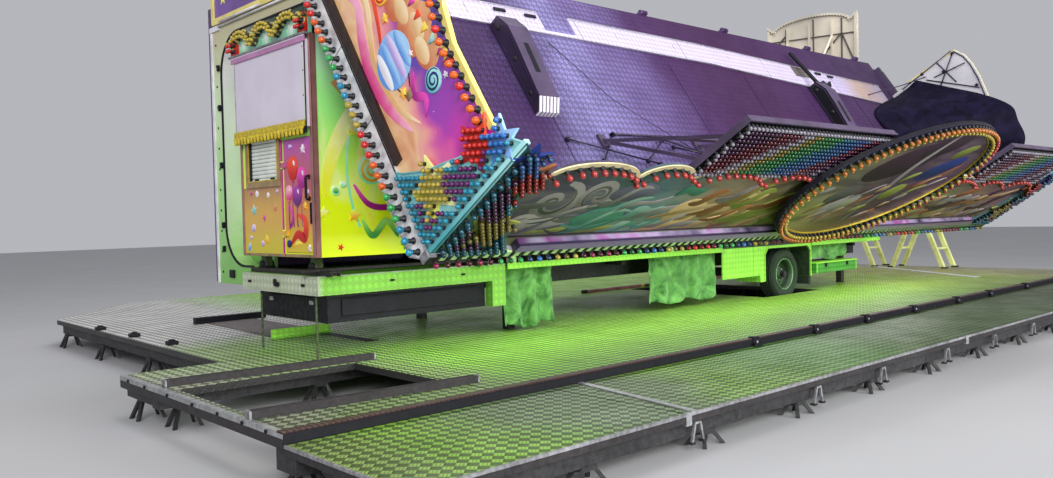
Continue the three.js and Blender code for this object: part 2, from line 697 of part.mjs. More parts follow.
// One splayed four-legged stand, its head reaching into the bearer above
function stand(x, y, top) {
  const pieces = [box(x - 70, x + 70, y - 45, y + 45, top - 30, top + 5)];
  for (const sx of [-1, 1]) {
    for (const sy of [-1, 1]) {
      pieces.push(bar([x + sx * 50, y + sy * 30, top - 10], [x + sx * 120, y + sy * 90, -20], 28));
    }
  }
  return pieces;
}

function bearer(name, boxes, stands) {
  const feet = stands.flatMap(([x, y, top]) => stand(x, y, top));
  const below = box(X_LEFT - 500, X_RIGHT + 500, Y_NEAR - 500, Y_FAR + 500, -200, 0);
  return part(name, cut([...boxes, ...feet], [below]), 'steel');
}

function rowOfStands(x0, x1, y, top) {
  const stands = [];
  for (let x = x0; x <= x1; x += TRESTLE_PITCH) stands.push([x, y, top]);
  return stands;
}

function bearers() {
  const high = DECK_TOP - DECK_THICK - GAP;
  const low = OUTER_TOP - DECK_THICK - GAP;
  const hb = high - BEARER_DEPTH;
  const lb = low - BEARER_DEPTH;
  const ends = [X_LEFT + 20, X_RIGHT - 20];
  const farLeg = [-600, -510];
  return [
    bearer('bearer_outer', [box(...ends, -3590, -3510, lb, low)],
      rowOfStands(-1400, 15300, -3550, lb)),
    bearer('bearer_seam',
      [box(...ends, -2440, -2290, lb, low), box(...ends, -2295, -2180, lb, high)],
      rowOfStands(-1400, 15300, -2310, lb)),
    bearer('bearer_inner',
      [box(...ends, -130, 10, hb, high), box(-1500, -1400, 0, STEP_NOTCH_Y - 20, hb, high)],
      [...rowOfStands(-1300, 15300, -60, hb), [-1400, 500, hb]]),
    bearer('bearer_far_inner',
      [box(-600, ends[1], 2700, 2790, hb, high), box(...farLeg, 760, 6200, hb, high)],
      [...rowOfStands(1200, 15300, 2745, hb),
        ...[950, 2745, 4400, 6000].map((y) => [-555, y, hb])]),
    bearer('bearer_far_edge', [box(1000, ends[1], 8080, 8170, hb, high)],
      rowOfStands(1200, 15300, 8080, hb)),
  ];
}

function deckFittings() {
  const z = DECK_TOP + GAP;
  const farRail = [[-1490, -165], [410, -320], [410, -250], [-1490, -95]];
  const nearRail = [[-1530, -1800], [330, -1955], [330, -1885], [-1530, -1730]];
  return [
    part('hatch_rail_far', prismZ(farRail, z, z + 60), 'steel'),
    part('hatch_rail_near', prismZ(nearRail, z, z + 60), 'steel'),
    part('deck_pole', box(6500, 10400, 2740, 2800, z, z + 50), 'pink'),
  ];
}

// Two pairs of ladder-like stands that wait beside the rear, joined by a beam
function rearTrestle() {
  const { x0, x1, y: middles, half, top, leg } = REAR_STANDS;
  const z = DECK_TOP + GAP;
  const pieces = [box(x0 - leg / 2, x0 + leg / 2, middles[0] - 250, middles[1] + 250, 1200, 1280)];
  for (const y of middles) {
    pieces.push(bar([x0, y, top - leg / 2], [x1, y, top - leg / 2], leg));
    for (const side of [-1, 1]) {
      for (const x of [x0, x1]) {
        pieces.push(bar([x, y, top], [x, y + side * half, z - leg], leg));
      }
      for (const share of [0.3, 0.62]) {
        const rungY = y + side * half * (1 - share);
        const rungZ = z + (top - z) * share;
        pieces.push(bar([x0, rungY, rungZ], [x1, rungY, rungZ], leg / 2));
      }
    }
  }
  const below = box(x0 - 900, x1 + 900, -900, 4000, z - 300, z);
  return part('rear_trestle', cut(pieces, [below]), 'cream');
}

// Assembly

// The folded wing's oval board leans out past the decking, so it is the nearest point
function nearReach() {
  const drop = THREE.MathUtils.degToRad(WING_DROP);
  const top = Math.max(...ovalOutline().map(([, t]) => t));
  return HINGE_Y + atS(OVAL.s) * Math.cos(drop) - top * Math.sin(drop);
}

const ride = new THREE.Group();
ride.name = 'track_ride_trailer';
ride.position.set(-(X_LEFT + X_RIGHT) / 2, -(nearReach() + Y_FAR) / 2, 0);
ride.add(
  chassis(), stepPlatform(), stepRecessBox(), portal(), portalPanel(), nearSideFrame(),
  rearPortal(), roof(), frontGable(), rearGable(), farWing(), wheelSkirt(),
  wheel('wheel_near', 70, 1), wheel('wheel_far', WIDTH - 70, -1), toolbox(),
  hangingTarp('tarp_front', 2380, 3150, 90, 380, 3),
  hangingTarp('tarp_middle', 4900, 6380, 90, 420, 4),
  hangingTarp('tarp_rear', 8990, 10250, 90, TOOLBOX.top + 5, 2),
  boothBody(), boothDoor(), boothWindowFrame(), boothShutter(), boothSignPanel(),
  boothValance(), boothCrest(), wing(),
  ...deckPlates(), ...bearers(), ...deckFittings(), rearTrestle(),
);

export default ride;
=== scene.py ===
# The looks of a children's track ride trailer, half set up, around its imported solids.
# Metres, +Z up. Most places are given in the drawing's own frame, whose zero is the near front
# corner of the gooseneck step on the ground; at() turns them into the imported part's frame.
import math

import bpy
import numpy as np
from mathutils import Matrix, Vector


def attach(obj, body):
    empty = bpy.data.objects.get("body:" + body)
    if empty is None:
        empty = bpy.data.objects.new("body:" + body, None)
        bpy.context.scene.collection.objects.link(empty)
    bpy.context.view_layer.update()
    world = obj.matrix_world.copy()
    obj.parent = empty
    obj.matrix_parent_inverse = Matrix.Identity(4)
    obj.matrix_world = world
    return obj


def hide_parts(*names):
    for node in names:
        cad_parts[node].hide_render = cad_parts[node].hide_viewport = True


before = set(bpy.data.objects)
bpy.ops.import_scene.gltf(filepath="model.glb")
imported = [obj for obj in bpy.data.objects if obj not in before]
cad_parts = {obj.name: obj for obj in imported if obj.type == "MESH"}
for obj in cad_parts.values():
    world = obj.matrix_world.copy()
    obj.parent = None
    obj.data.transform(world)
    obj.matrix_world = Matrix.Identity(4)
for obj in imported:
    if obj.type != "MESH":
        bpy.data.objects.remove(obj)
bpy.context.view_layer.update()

SHIFT = Vector((-6.925, -2.225455, 0.0))

# Camera, solved from the photograph's vanishing lines
EYE = (-4.03, -7.31, 1.67)
CAMERA_TURN = (88.513, 1.409, -42.475)
LENS = 29.76

# Studio: name, place, size, power, target, depth and beam of each lamp
WORLD_LIGHT = 0.5
FLOOR_REACH = 60.0
FLOOR_DROP = 0.002
LIGHTS = (("key", (-14.0, -21.0, 12.0), 9.5, 2300.0, (2.0, -1.0, 1.5), None, 120.0),
          ("fill", (12.0, -24.0, 8.0), 11.0, 920.0, (5.0, -1.0, 1.2), None, 90.0),
          ("low", (1.0, -26.0, 4.5), 9.0, 800.0, (5.0, 0.5, 1.2), None, 90.0),
          ("top", (4.0, 1.0, 14.0), 9.0, 900.0, (4.0, 0.0, 0.0), None, 180.0),
          ("under_wing", (5.8, -0.85, 1.55), 11.0, 105.0, None, 0.8, 180.0))

# Roof wing
HINGE_Y = 0.005
HINGE_Z = 4.27
WING_DROP = 56.0
WING_LENGTH = 3.42
WING_LEFT = -0.10
WING_RIGHT = 11.0
FASCIA_PEAK = 1.12
FASCIA_VALLEY = 0.95
FASCIA_LOW = 0.15
FASCIA_HIGH = 0.9
BOARD_THICK = 0.035
REAR_BOARD_X = WING_RIGHT - 0.065
SCALLOPS = ((0.43, 1.43, 2.16, 3.22, 4.14, 5.13),
            (5.85, 6.45, 7.12, 8.39, 9.34, 10.5))
OVAL = {"x": 5.53, "t": 1.08, "length": 1.63, "height": 1.03, "tilt": 12.0}
ORNAMENTS = ((2.05, 4.75), (8.0, 10.6))
ARMS = ((1.83, 2.675), (7.98, 2.48))
ARM_WIDTH = 0.26
ARM_LENGTH = 1.2

# Trailer, booth and decking
WIDTH = 2.55
FLOOR_TOP = 1.15
PORTAL_X = 0.14
STEP_BOTTOM = 0.97
BOOTH_TOP = 3.42
BOOTH_BOTTOM = 1.33
DECK_TOP = 0.36
OUTER_TOP = 0.29
SEAM_Y = -2.325
X_LEFT = -1.55
X_RIGHT = 15.4
Y_NEAR = -3.66
PROUD = 0.004
EDGE = 0.003
REAR_GABLE_X = 11.29
WHEEL_INSET = 0.07
CLOTH_TOP = 1.128
CLOTH_Y = 0.1
CLOTH_HALF = 0.002
HEM_SHARE = 0.14
CLAMPS_X = (3.66, 4.86, 6.06, 7.38, 8.78, 10.0, 11.55, 13.1, 14.4)
HATCH_RAILS = (((-1.49, -0.165), (0.41, -0.32)), ((-1.53, -1.8), (0.33, -1.955)))
REAR_STANDS_X = (14.8, 15.35)
REAR_STANDS_Y = (0.84, 2.35)
WHEEL_X = 8.24
WHEEL_Z = 0.66
TYRE_RADIUS = 0.40
TYRE_WIDTH = 0.26


def at(x, y, z):
    """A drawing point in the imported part's frame."""
    return Vector((x, y, z)) + SHIFT


WING = (Matrix.Translation(at(0, HINGE_Y, HINGE_Z))
        @ Matrix.Rotation(math.radians(WING_DROP), 4, "X")
        @ Matrix.Translation((0, -WING_LENGTH, 0)))


def basis(origin, u, v, out):
    """A matrix whose columns are two directions along a face and the way out of it."""
    matrix = Matrix.Identity(4)
    for column, axis in enumerate((u, v, out, origin)):
        for row in range(3):
            matrix[row][column] = axis[row]
    return matrix


X, Y, Z = Vector((1, 0, 0)), Vector((0, 1, 0)), Vector((0, 0, 1))
PLAIN = Matrix.Translation(SHIFT)


def wing_end(x, out=-1):
    """Face across the wing at x: u is the distance from the outer edge, v is up from the plates."""
    return WING @ basis((x, 0, 0), Y, Z, out * X)


def wing_front(s):
    """Face along the wing at distance s from its outer edge, looking outwards."""
    return WING @ basis((0, s, 0), X, Z, -Y)


def wing_top(t=0.0):
    """Face on top of the wing: u along the trailer, v inwards from the outer edge."""
    return WING @ basis((0, 0, t), X, Y, Z)


def facing_front(x):
    """Upright face looking along the trailer to the front: u is across it, v is height."""
    return basis(at(x, 0, 0), Y, Z, -X)


def facing_near(y):
    """Upright face looking at the near side: u is along the trailer, v is height."""
    return basis(at(0, y, 0), X, Z, -Y)


def facing_up(z):
    """Level face: u is along the trailer, v is across it."""
    return basis(at(0, 0, z), X, Y, Z)


# Materials


class Paint:
    """One material's nodes, with a short call for each kind used here."""

    def __init__(self, name, rough=0.4, metal=0.0, coat=0.0, gloss=0.5):
        self.material = bpy.data.materials.new(name)
        self.material.use_nodes = True
        self.tree = self.material.node_tree
        self.shader = self.tree.nodes["Principled BSDF"]
        self.shader.inputs["Roughness"].default_value = rough
        self.shader.inputs["Metallic"].default_value = metal
        self.shader.inputs["Coat Weight"].default_value = coat
        self.shader.inputs["Specular IOR Level"].default_value = gloss
        self._place = None

    def node(self, kind, values=(), **settings):
        """A new node; values go to its inputs, settings to its properties."""
        made = self.tree.nodes.new("ShaderNode" + kind)
        for key, value in settings.items():
            setattr(made, key, value)
        for key, value in dict(values).items():
            self.put(made.inputs[key], value)
        return made

    def put(self, socket, value):
        """Link another node's socket, or set a plain value."""
        if isinstance(value, bpy.types.NodeSocket):
            self.tree.links.new(value, socket)
        elif isinstance(value, tuple) and len(value) == 3 and socket.type == "RGBA":
            socket.default_value = (*value, 1.0)
        else:
            socket.default_value = value

    def math(self, how, a, b=0.0, c=0.0, clamp=False):
        made = self.node("Math", {0: a, 1: b, 2: c}, operation=how, use_clamp=clamp)
        return made.outputs[0]

    def plus(self, a, b, clamp=False):
        return self.math("ADD", a, b, clamp=clamp)

    def minus(self, a, b):
        return self.math("SUBTRACT", a, b)

    def times(self, a, b):
        return self.math("MULTIPLY", a, b)

    def mix(self, share, a, b, how="MIX"):
        made = self.node("Mix", {0: share, 6: a, 7: b}, data_type="RGBA", blend_type=how)
        return made.outputs[2]

    def dimmed(self, colour, by):
        return self.mix(1.0, colour, by, "MULTIPLY")

    def ramp(self, share, stops, smooth=False):
        """Colours over a share from 0 to 1, given as (place, colour) stops."""
        made = self.node("ValToRGB", {0: share})
        if smooth:
            made.color_ramp.interpolation = "EASE"
        points = made.color_ramp.elements
        while len(points) < len(stops):
            points.new(1.0)
        for point, (place, colour) in zip(points, stops):
            point.position = place
            point.color = (*colour, 1.0)
        return made.outputs[0]

    def place(self):
        """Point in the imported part's frame, which stays with the piece as it moves."""
        if self._place is None:
            self._place = self.node("TexCoord").outputs["Object"]
        return self._place

    def split(self, vector):
        return self.node("SeparateXYZ", {0: vector}).outputs

    def join(self, x, y, z=0.0):
        return self.node("CombineXYZ", {0: x, 1: y, 2: z}).outputs[0]

    def grey(self, value):
        return self.join(value, value, value)

    def noise(self, scale, detail=3.0, vector=None, bend=0.0, rough=0.5):
        """Cloudy values between 0 and 1."""
        made = self.node("TexNoise", {"Vector": vector or self.place(), "Scale": scale,
                                      "Detail": detail, "Distortion": bend, "Roughness": rough})
        return made.outputs[0]

    def step(self, value, low, high, out_low=0.0, out_high=1.0):
        """A value carried from one range over to another, and kept within it."""
        made = self.node("MapRange", {0: value, 1: low, 2: high, 3: out_low, 4: out_high})
        return made.outputs[0]

    def drift(self, reach, *noise, **more):
        """Slow uneven change between -reach and reach."""
        return self.step(self.noise(*noise, **more), 0.3, 0.7, -reach, reach)

    def wing_place(self):
        """Point in the wing's own frame: x, distance from the outer edge, height above it."""
        hinge = at(0, HINGE_Y, HINGE_Z)
        turned = self.node("VectorRotate", {"Vector": self.place(), "Center": tuple(hinge),
                                            "Angle": -math.radians(WING_DROP)},
                           rotation_type="X_AXIS").outputs[0]
        shift = (-SHIFT.x, WING_LENGTH - hinge.y, -hinge.z)
        return self.node("Mapping", {"Vector": turned, "Location": shift}).outputs[0]

    def flat(self, turned=False):
        """Two-dimensional place on whichever way the surface faces."""
        source = self.node("TexCoord")
        place, normal = source.outputs["Object"], source.outputs["Normal"]
        if turned:
            angle = -math.radians(WING_DROP)
            place = self.wing_place()
            normal = self.node("VectorRotate", {"Vector": normal, "Angle": angle},
                               rotation_type="X_AXIS").outputs[0]
        p, n = self.split(place), self.split(normal)
        facing_x = self.math("GREATER_THAN", self.math("ABSOLUTE", n[0]), 0.6)
        facing_z = self.math("GREATER_THAN", self.math("ABSOLUTE", n[2]), 0.6)
        u = self.node("Mix", {0: facing_x, 2: p[0], 3: p[1]}).outputs[0]
        v = self.node("Mix", {0: facing_z, 2: p[2], 3: p[1]}).outputs[0]
        return u, v, facing_z

    def bump(self, height, strength=0.4, distance=0.002):
        """Relief that only the light shows."""
        made = self.node("Bump", {"Height": height, "Strength": strength, "Distance": distance})
        self.put(self.shader.inputs["Normal"], made.outputs[0])

    def grain(self, scale, strength=0.05, detail=3.0):
        """Fine bumps all over, such as the orange peel of sprayed paint."""
        self.bump(self.noise(scale, detail), strength, 0.001)

    def colour(self, value):
        self.put(self.shader.inputs["Base Color"], value)

    def roughness(self, value):
        self.put(self.shader.inputs["Roughness"], value)


def shade(colour, by):
    """A colour made darker or lighter."""
    return tuple(min(1.0, c * by) for c in colour)


def painted(name, colour, rough=0.4, metal=0.0, coat=0.2, wear=0.25, scale=6.0, gloss=0.5):
    """Sprayed paint: even, with slow changes of shade, fine orange peel and dusty patches."""
    paint = Paint(name, rough, metal, coat, gloss)
    slow = paint.noise(scale, 4.0)
    paint.colour(paint.ramp(slow, [(0.3, shade(colour, 1 - wear)), (0.7, shade(colour, 1 + 0.5 * wear))]))
    paint.roughness(paint.step(paint.noise(scale * 3), 0.3, 0.7, rough * 0.8, rough * 1.25))
    paint.grain(240.0, 0.08, 2.0)
    return paint.material


def gradient(name, low, high, rough=0.4, coat=0.1):
    """Printed colour that runs from low to high along the shape, with a soft airbrushed edge."""
    paint = Paint(name, rough, 0.0, coat, 0.25)
    uv = paint.split(paint.node("TexCoord").outputs["UV"])
    share = paint.plus(uv[1], paint.drift(0.08, 9.0))
    paint.colour(paint.ramp(share, [(0.1, low), (0.9, high)], smooth=True))
    paint.grain(300.0, 0.05, 2.0)
    return paint.material


def tread_pattern(paint, u, v, pitch):
    """Raised bars of tread plate: small groups that lie alternately one way and the other."""
    a = paint.math("DIVIDE", paint.plus(u, v), pitch * math.sqrt(2))
    b = paint.math("DIVIDE", paint.minus(u, v), pitch * math.sqrt(2))
    cell = paint.plus(paint.math("FLOOR", a), paint.math("FLOOR", b))
    odd = paint.times(paint.math("FRACT", paint.times(cell, 0.5)), 2.0)
    fa, fb = paint.math("FRACT", a), paint.math("FRACT", b)
    along = paint.node("Mix", {0: odd, 2: fa, 3: fb}).outputs[0]
    across = paint.node("Mix", {0: odd, 2: fb, 3: fa}).outputs[0]
    bars = paint.math("ABSOLUTE", paint.math("SINE", paint.times(across, 3 * math.pi)))
    ends = paint.math("PINGPONG", along, 0.5)
    body = paint.times(bars, paint.step(ends, 0.02, 0.2))
    return paint.step(body, 0.25, 0.85), odd


def tread_plate(name, tint, dirt_and_shade, pitch=0.052, turned=False, rough=0.36, metal=0.12, depth=0.003,
                seams=None, cell_shade=0.8, sides=None, gloss=0.25):
    """Aluminium tread plate. tint makes the colour of its bright bars; dirt is the plate's darker colour,
    for its grime patches and for painted shade between the bars and on every other cell.
    contrast is how much darker the cells look whose bars lie the other way, which is painted shade; sides,
    where given, is a painted shade colour for the upright faces."""
    paint = Paint(name, rough, metal, gloss=gloss)
    u, v, level = paint.flat(turned)
    bars, odd = tread_pattern(paint, u, v, pitch)
    bright = tint(paint)
    grime = paint.step(paint.noise(2.2, 5.0, rough=0.65), 0.4, 0.75)
    base = paint.mix(paint.times(grime, 0.3), bright, dirt_and_shade)
    # Between the bars the plate is darker: grime together with painted shade.
    low = paint.mix(0.3, base, dirt_and_shade)
    # Every other cell is darkened: painted shade for how light falls on bars that lie the other way.
    base = paint.mix(paint.times(odd, cell_shade * 0.85), base, dirt_and_shade)
    low = paint.mix(paint.times(odd, cell_shade), low, dirt_and_shade)
    plate = paint.mix(bars, low, base)
    height = bars
    if seams:
        line = paint.math("PINGPONG", paint.plus(u, seams[1]), seams[0] / 2)
        gap = paint.math("LESS_THAN", line, 0.004)
        plate = paint.mix(gap, plate, (0.01, 0.012, 0.01))
        height = paint.minus(bars, paint.times(gap, 2.0))
    # Upright faces take a near-black colour: painted shade on the plates' sides, in gaps and hatch walls.
    if sides:
        plate = paint.mix(level, sides, plate)
    paint.colour(plate)
    paint.roughness(paint.step(grime, 0.0, 1.0, rough, rough + 0.2))
    paint.bump(height, 0.9, depth)
    return paint.material


def along_x(stops, x0, x1, wave=0.05, scale=0.7):
    """A tint that changes along the trailer, with soft uneven borders."""
    def tint(paint):
        x = paint.split(paint.place())[0]
        share = paint.step(x, x0 + SHIFT.x, x1 + SHIFT.x)
        share = paint.plus(share, paint.drift(wave, scale))
        return paint.ramp(share, stops, smooth=True)
    return tint


def even(colour, wear=0.15, scale=1.4):
    """A tint that stays the same but for slow changes of shade."""
    def tint(paint):
        stops = [(0.3, shade(colour, 1 - wear)), (0.7, shade(colour, 1 + wear))]
        return paint.ramp(paint.noise(scale), stops)
    return tint


def step_tint(paint):
    """Grey-white on the step's front face, green along its side, near-black above the floor's top and, near
    the front, below the step's bottom.
    """
    x, _, z = paint.split(paint.place())
    share = paint.step(x, SHIFT.x - 0.01, SHIFT.x + 0.06)
    plate = paint.ramp(share, [(0.0, (0.8, 0.78, 0.7)), (1.0, (0.27, 0.7, 0.08))])
    above = paint.math("GREATER_THAN", z, FLOOR_TOP + 0.004)
    below = paint.math("LESS_THAN", z, STEP_BOTTOM - 0.001)
    front = paint.math("LESS_THAN", x, 2.0 + SHIFT.x)
    dark = paint.plus(above, paint.times(below, front), clamp=True)
    return paint.mix(dark, plate, (0.03, 0.03, 0.03))


def deck_tint(paint):
    """Floodlit green along the deck, dim near its seam, pale grey on its far side at the front."""
    x, y, _ = paint.split(paint.place())
    share = paint.step(x, X_LEFT + SHIFT.x, X_RIGHT + SHIFT.x)
    share = paint.plus(share, paint.drift(0.04, 0.7))
    ground = paint.ramp(share, GREEN_DECK, smooth=True)
    level = paint.step(y, SEAM_Y + SHIFT.y, -0.9 + SHIFT.y, 0.55, 1.0)
    ground = paint.dimmed(ground, paint.grey(level))
    far = paint.step(y, 1.7 + SHIFT.y, 2.5 + SHIFT.y)
    front = paint.step(x, 2.8 + SHIFT.x, 1.3 + SHIFT.x)
    return paint.mix(paint.times(far, front), ground, (0.95, 0.92, 0.9))


def wing_tint(paint):
    """Muted violet plates: darker near the front end, then a brighter bluer stretch that is a painted
    reflection of a floodlight, then greyish.
    """
    x = paint.split(paint.wing_place())[0]
    share = paint.plus(paint.step(x, WING_LEFT, WING_RIGHT), paint.drift(0.03, 0.8))
    # The bright blue stops from 0.25 to 0.33 are a painted reflection of a floodlight on the plates.
    return paint.ramp(share, [
        (0.0, (0.055, 0.018, 0.08)), (0.17, (0.055, 0.02, 0.1)), (0.25, (0.26, 0.23, 0.5)),
        (0.33, (0.17, 0.12, 0.32)), (0.42, (0.065, 0.018, 0.105)), (0.55, (0.055, 0.01, 0.07)),
        (0.75, (0.065, 0.02, 0.1)), (1.0, (0.06, 0.03, 0.09))], smooth=True)


def band_tint(paint):
    """Bright lavender band that turns tan, then grey, near its rear end."""
    x = paint.split(paint.wing_place())[0]
    share = paint.plus(paint.step(x, 8.4, 10.6), paint.drift(0.06, 1.6))
    share = paint.math("MAXIMUM", share, 0.0)
    return paint.ramp(share, [
        (0.0, (0.85, 0.74, 1.0)), (0.35, (0.72, 0.62, 0.92)), (0.6, (0.6, 0.4, 0.24)),
        (0.82, (0.5, 0.34, 0.28)), (1.0, (0.34, 0.3, 0.4))], smooth=True)


def speckled(name, paint_colour, spot, rough=0.5, metal=0.0, scale=60.0):
    """Coarse surface with fine spots, such as dusty steel or rubber."""
    paint = Paint(name, rough, metal)
    fine = paint.noise(scale, 5.0)
    slow = paint.noise(3.0, 3.0)
    share = paint.plus(paint.times(fine, 0.6), paint.times(slow, 0.4))
    paint.colour(paint.ramp(share, [(0.38, paint_colour), (0.66, spot)]))
    paint.roughness(paint.step(slow, 0.3, 0.7, rough, min(1.0, rough + 0.2)))
    paint.bump(fine, 0.25, 0.002)
    return paint.material


def cloth(name, dark, light, rough=0.7, sheen=0.15, gloss=0.5):
    """Coated woven tarpaulin: fine weave, soft creases and shaded folds."""
    paint = Paint(name, rough, gloss=gloss)
    weave = paint.node("TexWave", {"Vector": paint.place(), "Scale": 110.0, "Distortion": 1.0})
    creases = paint.noise(5.0, 6.0, bend=0.8, rough=0.62)
    paint.colour(paint.ramp(creases, [(0.32, dark), (0.68, light)]))
    paint.shader.inputs["Sheen Weight"].default_value = sheen
    height = paint.plus(paint.times(weave.outputs[1], 0.06), creases)
    paint.bump(height, 0.5, 0.012)
    return paint.material


def bulb(name, colour):
    """Coloured plastic cap of a lamp: glossy, with painted shade that darkens it towards its widest part.
    """
    paint = Paint(name, 0.2, 0.0, 0.25)
    place = paint.node("TexCoord").outputs["UV"]
    reach = paint.node("VectorMath", {0: place, 1: (0.5, 0.5, 0.0)}, operation="DISTANCE").outputs["Value"]
    # Painted shade: the cap's colour darkens away from its tip, as on a rounded form.
    cap = paint.mix(paint.step(reach, 0.15, 0.5, 0.0, 0.4), colour, shade(colour, 0.25))
    spots = paint.step(paint.noise(70.0, 1.0), 0.4, 0.6, 0.75, 1.1)
    paint.colour(paint.dimmed(cap, paint.grey(spots)))
    return paint.material


BULBS = {
    "red": (0.72, 0.02, 0.015), "orange": (0.85, 0.13, 0.01), "amber": (0.46, 0.14, 0.012),
    "gold": (0.5, 0.38, 0.05), "green": (0.04, 0.42, 0.1), "teal": (0.015, 0.26, 0.4),
    "cyan": (0.02, 0.3, 0.5), "blue": (0.02, 0.16, 0.55), "purple": (0.13, 0.012, 0.13),
    "wine": (0.28, 0.01, 0.06), "silver": (0.22, 0.2, 0.25), "yellow_cap": (0.62, 0.47, 0.05),
    "soft_red": (0.42, 0.036, 0.03),
}
# Copies of every cap colour at 0.3: painted shade on the lamps of the front star leaves, which lie in
# shade, and the darker caps of the signs and of every other lamp on the front strip.
BULBS.update({name + "_dim": shade(colour, 0.3) for name, colour in BULBS.items()})
GRADIENTS = {"sky_blue": ((0.1, 0.3, 0.75), (0.4, 0.65, 0.95)),
             "peach": ((0.6, 0.15, 0.06), (0.88, 0.45, 0.22)),
             "cream": ((0.75, 0.42, 0.18), (0.95, 0.75, 0.45)),
             "rose": ((0.72, 0.06, 0.25), (0.95, 0.45, 0.6)),
             "scarlet": ((0.55, 0.01, 0.01), (0.9, 0.08, 0.03)),
             "sun": ((0.9, 0.35, 0.02), (1.0, 0.85, 0.12)),
             "plum": ((0.14, 0.02, 0.2), (0.4, 0.05, 0.38)),
             "ink": ((0.005, 0.004, 0.012), (0.012, 0.01, 0.03)),
             "lilac": ((0.45, 0.3, 0.7), (0.8, 0.7, 0.95)),
             "leaf": ((0.04, 0.3, 0.05), (0.35, 0.75, 0.15)),
             "mint_glow": ((0.3, 0.85, 0.45), (0.8, 1.0, 0.8)),
             "lemon": ((0.9, 0.9, 0.05), (1.0, 1.0, 0.55)),
             "aqua_light": ((0.1, 0.45, 0.5), (0.45, 0.85, 0.85)),
             "magenta": ((0.35, 0.01, 0.22), (0.85, 0.08, 0.5)),
             "pearl": ((0.7, 0.68, 0.75), (0.97, 0.97, 1.0)),
             "tan": ((0.18, 0.1, 0.04), (0.4, 0.28, 0.14)),
             "deep_blue": ((0.006, 0.012, 0.07), (0.015, 0.035, 0.2)),
             "olive": ((0.1, 0.12, 0.02), (0.4, 0.42, 0.1)),
             "smoke_cream": ((0.1, 0.085, 0.09), (0.3, 0.27, 0.27)),
             "moss": ((0.09, 0.11, 0.015), (0.26, 0.3, 0.06)),
             "smoke_dark": ((0.03, 0.027, 0.032), (0.09, 0.08, 0.085)),
             "rust": ((0.11, 0.03, 0.012), (0.28, 0.1, 0.04)),
             "sea": ((0.015, 0.1, 0.07), (0.05, 0.2, 0.14)),
             "sea_pale": ((0.06, 0.16, 0.15), (0.2, 0.34, 0.28)),
             "violet_smoke": ((0.05, 0.04, 0.08), (0.13, 0.12, 0.2)),
             "plum_dim": ((0.016, 0.003, 0.014), (0.04, 0.011, 0.035)),
             "peach_dim": ((0.3, 0.16, 0.06), (0.6, 0.4, 0.2))}


def sky_board():
    """Night sky of the picture boards: magenta low down, violet above, a peach glow at the beam."""
    paint = Paint("sky_board", 0.28, 0.0, 0.45)
    _, s, t = paint.split(paint.wing_place())
    bend = paint.step(paint.noise(1.3, 2.0, bend=0.8), 0.25, 0.75, -0.22, 0.22)
    across = paint.plus(paint.plus(t, paint.times(s, -0.1)), bend)
    glow = paint.ramp(paint.noise(1.7, 3.0, bend=1.2), [
        (0.3, (0.72, 0.26, 0.12)), (0.5, (0.9, 0.58, 0.3)), (0.7, (0.8, 0.32, 0.3))])
    height = paint.plus(s, paint.times(bend, 0.6))
    night = paint.ramp(paint.step(height, 0.35, 2.3), [
        (0.0, (0.62, 0.02, 0.4)), (0.22, (0.36, 0.03, 0.45)), (0.5, (0.12, 0.04, 0.4)),
        (0.8, (0.09, 0.04, 0.36)), (1.0, (0.2, 0.05, 0.4))], smooth=True)
    dots = paint.node("TexVoronoi", {"Vector": paint.place(), "Scale": 7.0})
    star = paint.math("LESS_THAN", dots.outputs["Distance"], 0.035)
    night = paint.mix(star, night, (1.0, 0.95, 1.0))
    rose = paint.step(across, 0.2, 0.46)
    warm = paint.mix(rose, glow, (0.85, 0.12, 0.35))
    paint.colour(paint.mix(paint.step(across, 0.36, 0.56), warm, night))
    paint.grain(220.0)
    return paint.material


def flame_paint(name, stops, x0, x1, lean, dim):
    """Airbrushed ground for the painted boards: long soft smoky streaks that lean along the board."""
    paint = Paint(name, 0.4, 0.0, 0.05, 0.2)
    x, _, t = paint.split(paint.wing_place())
    leant = paint.minus(x, paint.times(t, lean * 2))
    drawn = paint.join(paint.times(leant, 0.55), paint.times(t, 2.0), 0.0)
    tongues = paint.noise(1.6, 4.0, drawn, bend=1.4, rough=0.5)
    place = paint.plus(paint.step(x, x0, x1), paint.drift(0.03, 4.0, 3.0, drawn, bend=2.0))
    ground = paint.ramp(place, stops, smooth=True)
    pale = paint.mix(0.3, ground, (0.75, 0.66, 0.45))
    deep = paint.dimmed(ground, (0.42, 0.38, 0.42))
    lit = paint.mix(paint.step(tongues, 0.5, 0.68), ground, pale)
    both = paint.mix(paint.step(tongues, 0.48, 0.34), lit, deep)
    warm = paint.mix(paint.step(t, 0.45, 0.12, 0.0, 0.5), both, (0.36, 0.42, 0.1))
    cool = paint.mix(paint.step(t, 0.55, 1.0, 0.0, 0.45), warm, (0.12, 0.1, 0.17))
    paint.colour(paint.dimmed(cool, dim))
    paint.grain(200.0)
    return paint.material


def board_paint():
    """White inner face of an end board, with a dark violet root beside the wing's plates."""
    paint = Paint("board_white", 0.5)
    s = paint.split(paint.wing_place())[1]
    white = paint.ramp(paint.noise(1.5, 4.0), [(0.3, (0.5, 0.49, 0.53)), (0.7, (0.68, 0.67, 0.7))])
    root = paint.math("GREATER_THAN", s, 2.615)
    paint.colour(paint.mix(root, white, (0.06, 0.04, 0.09)))
    paint.grain(240.0, 0.08, 2.0)
    return paint.material


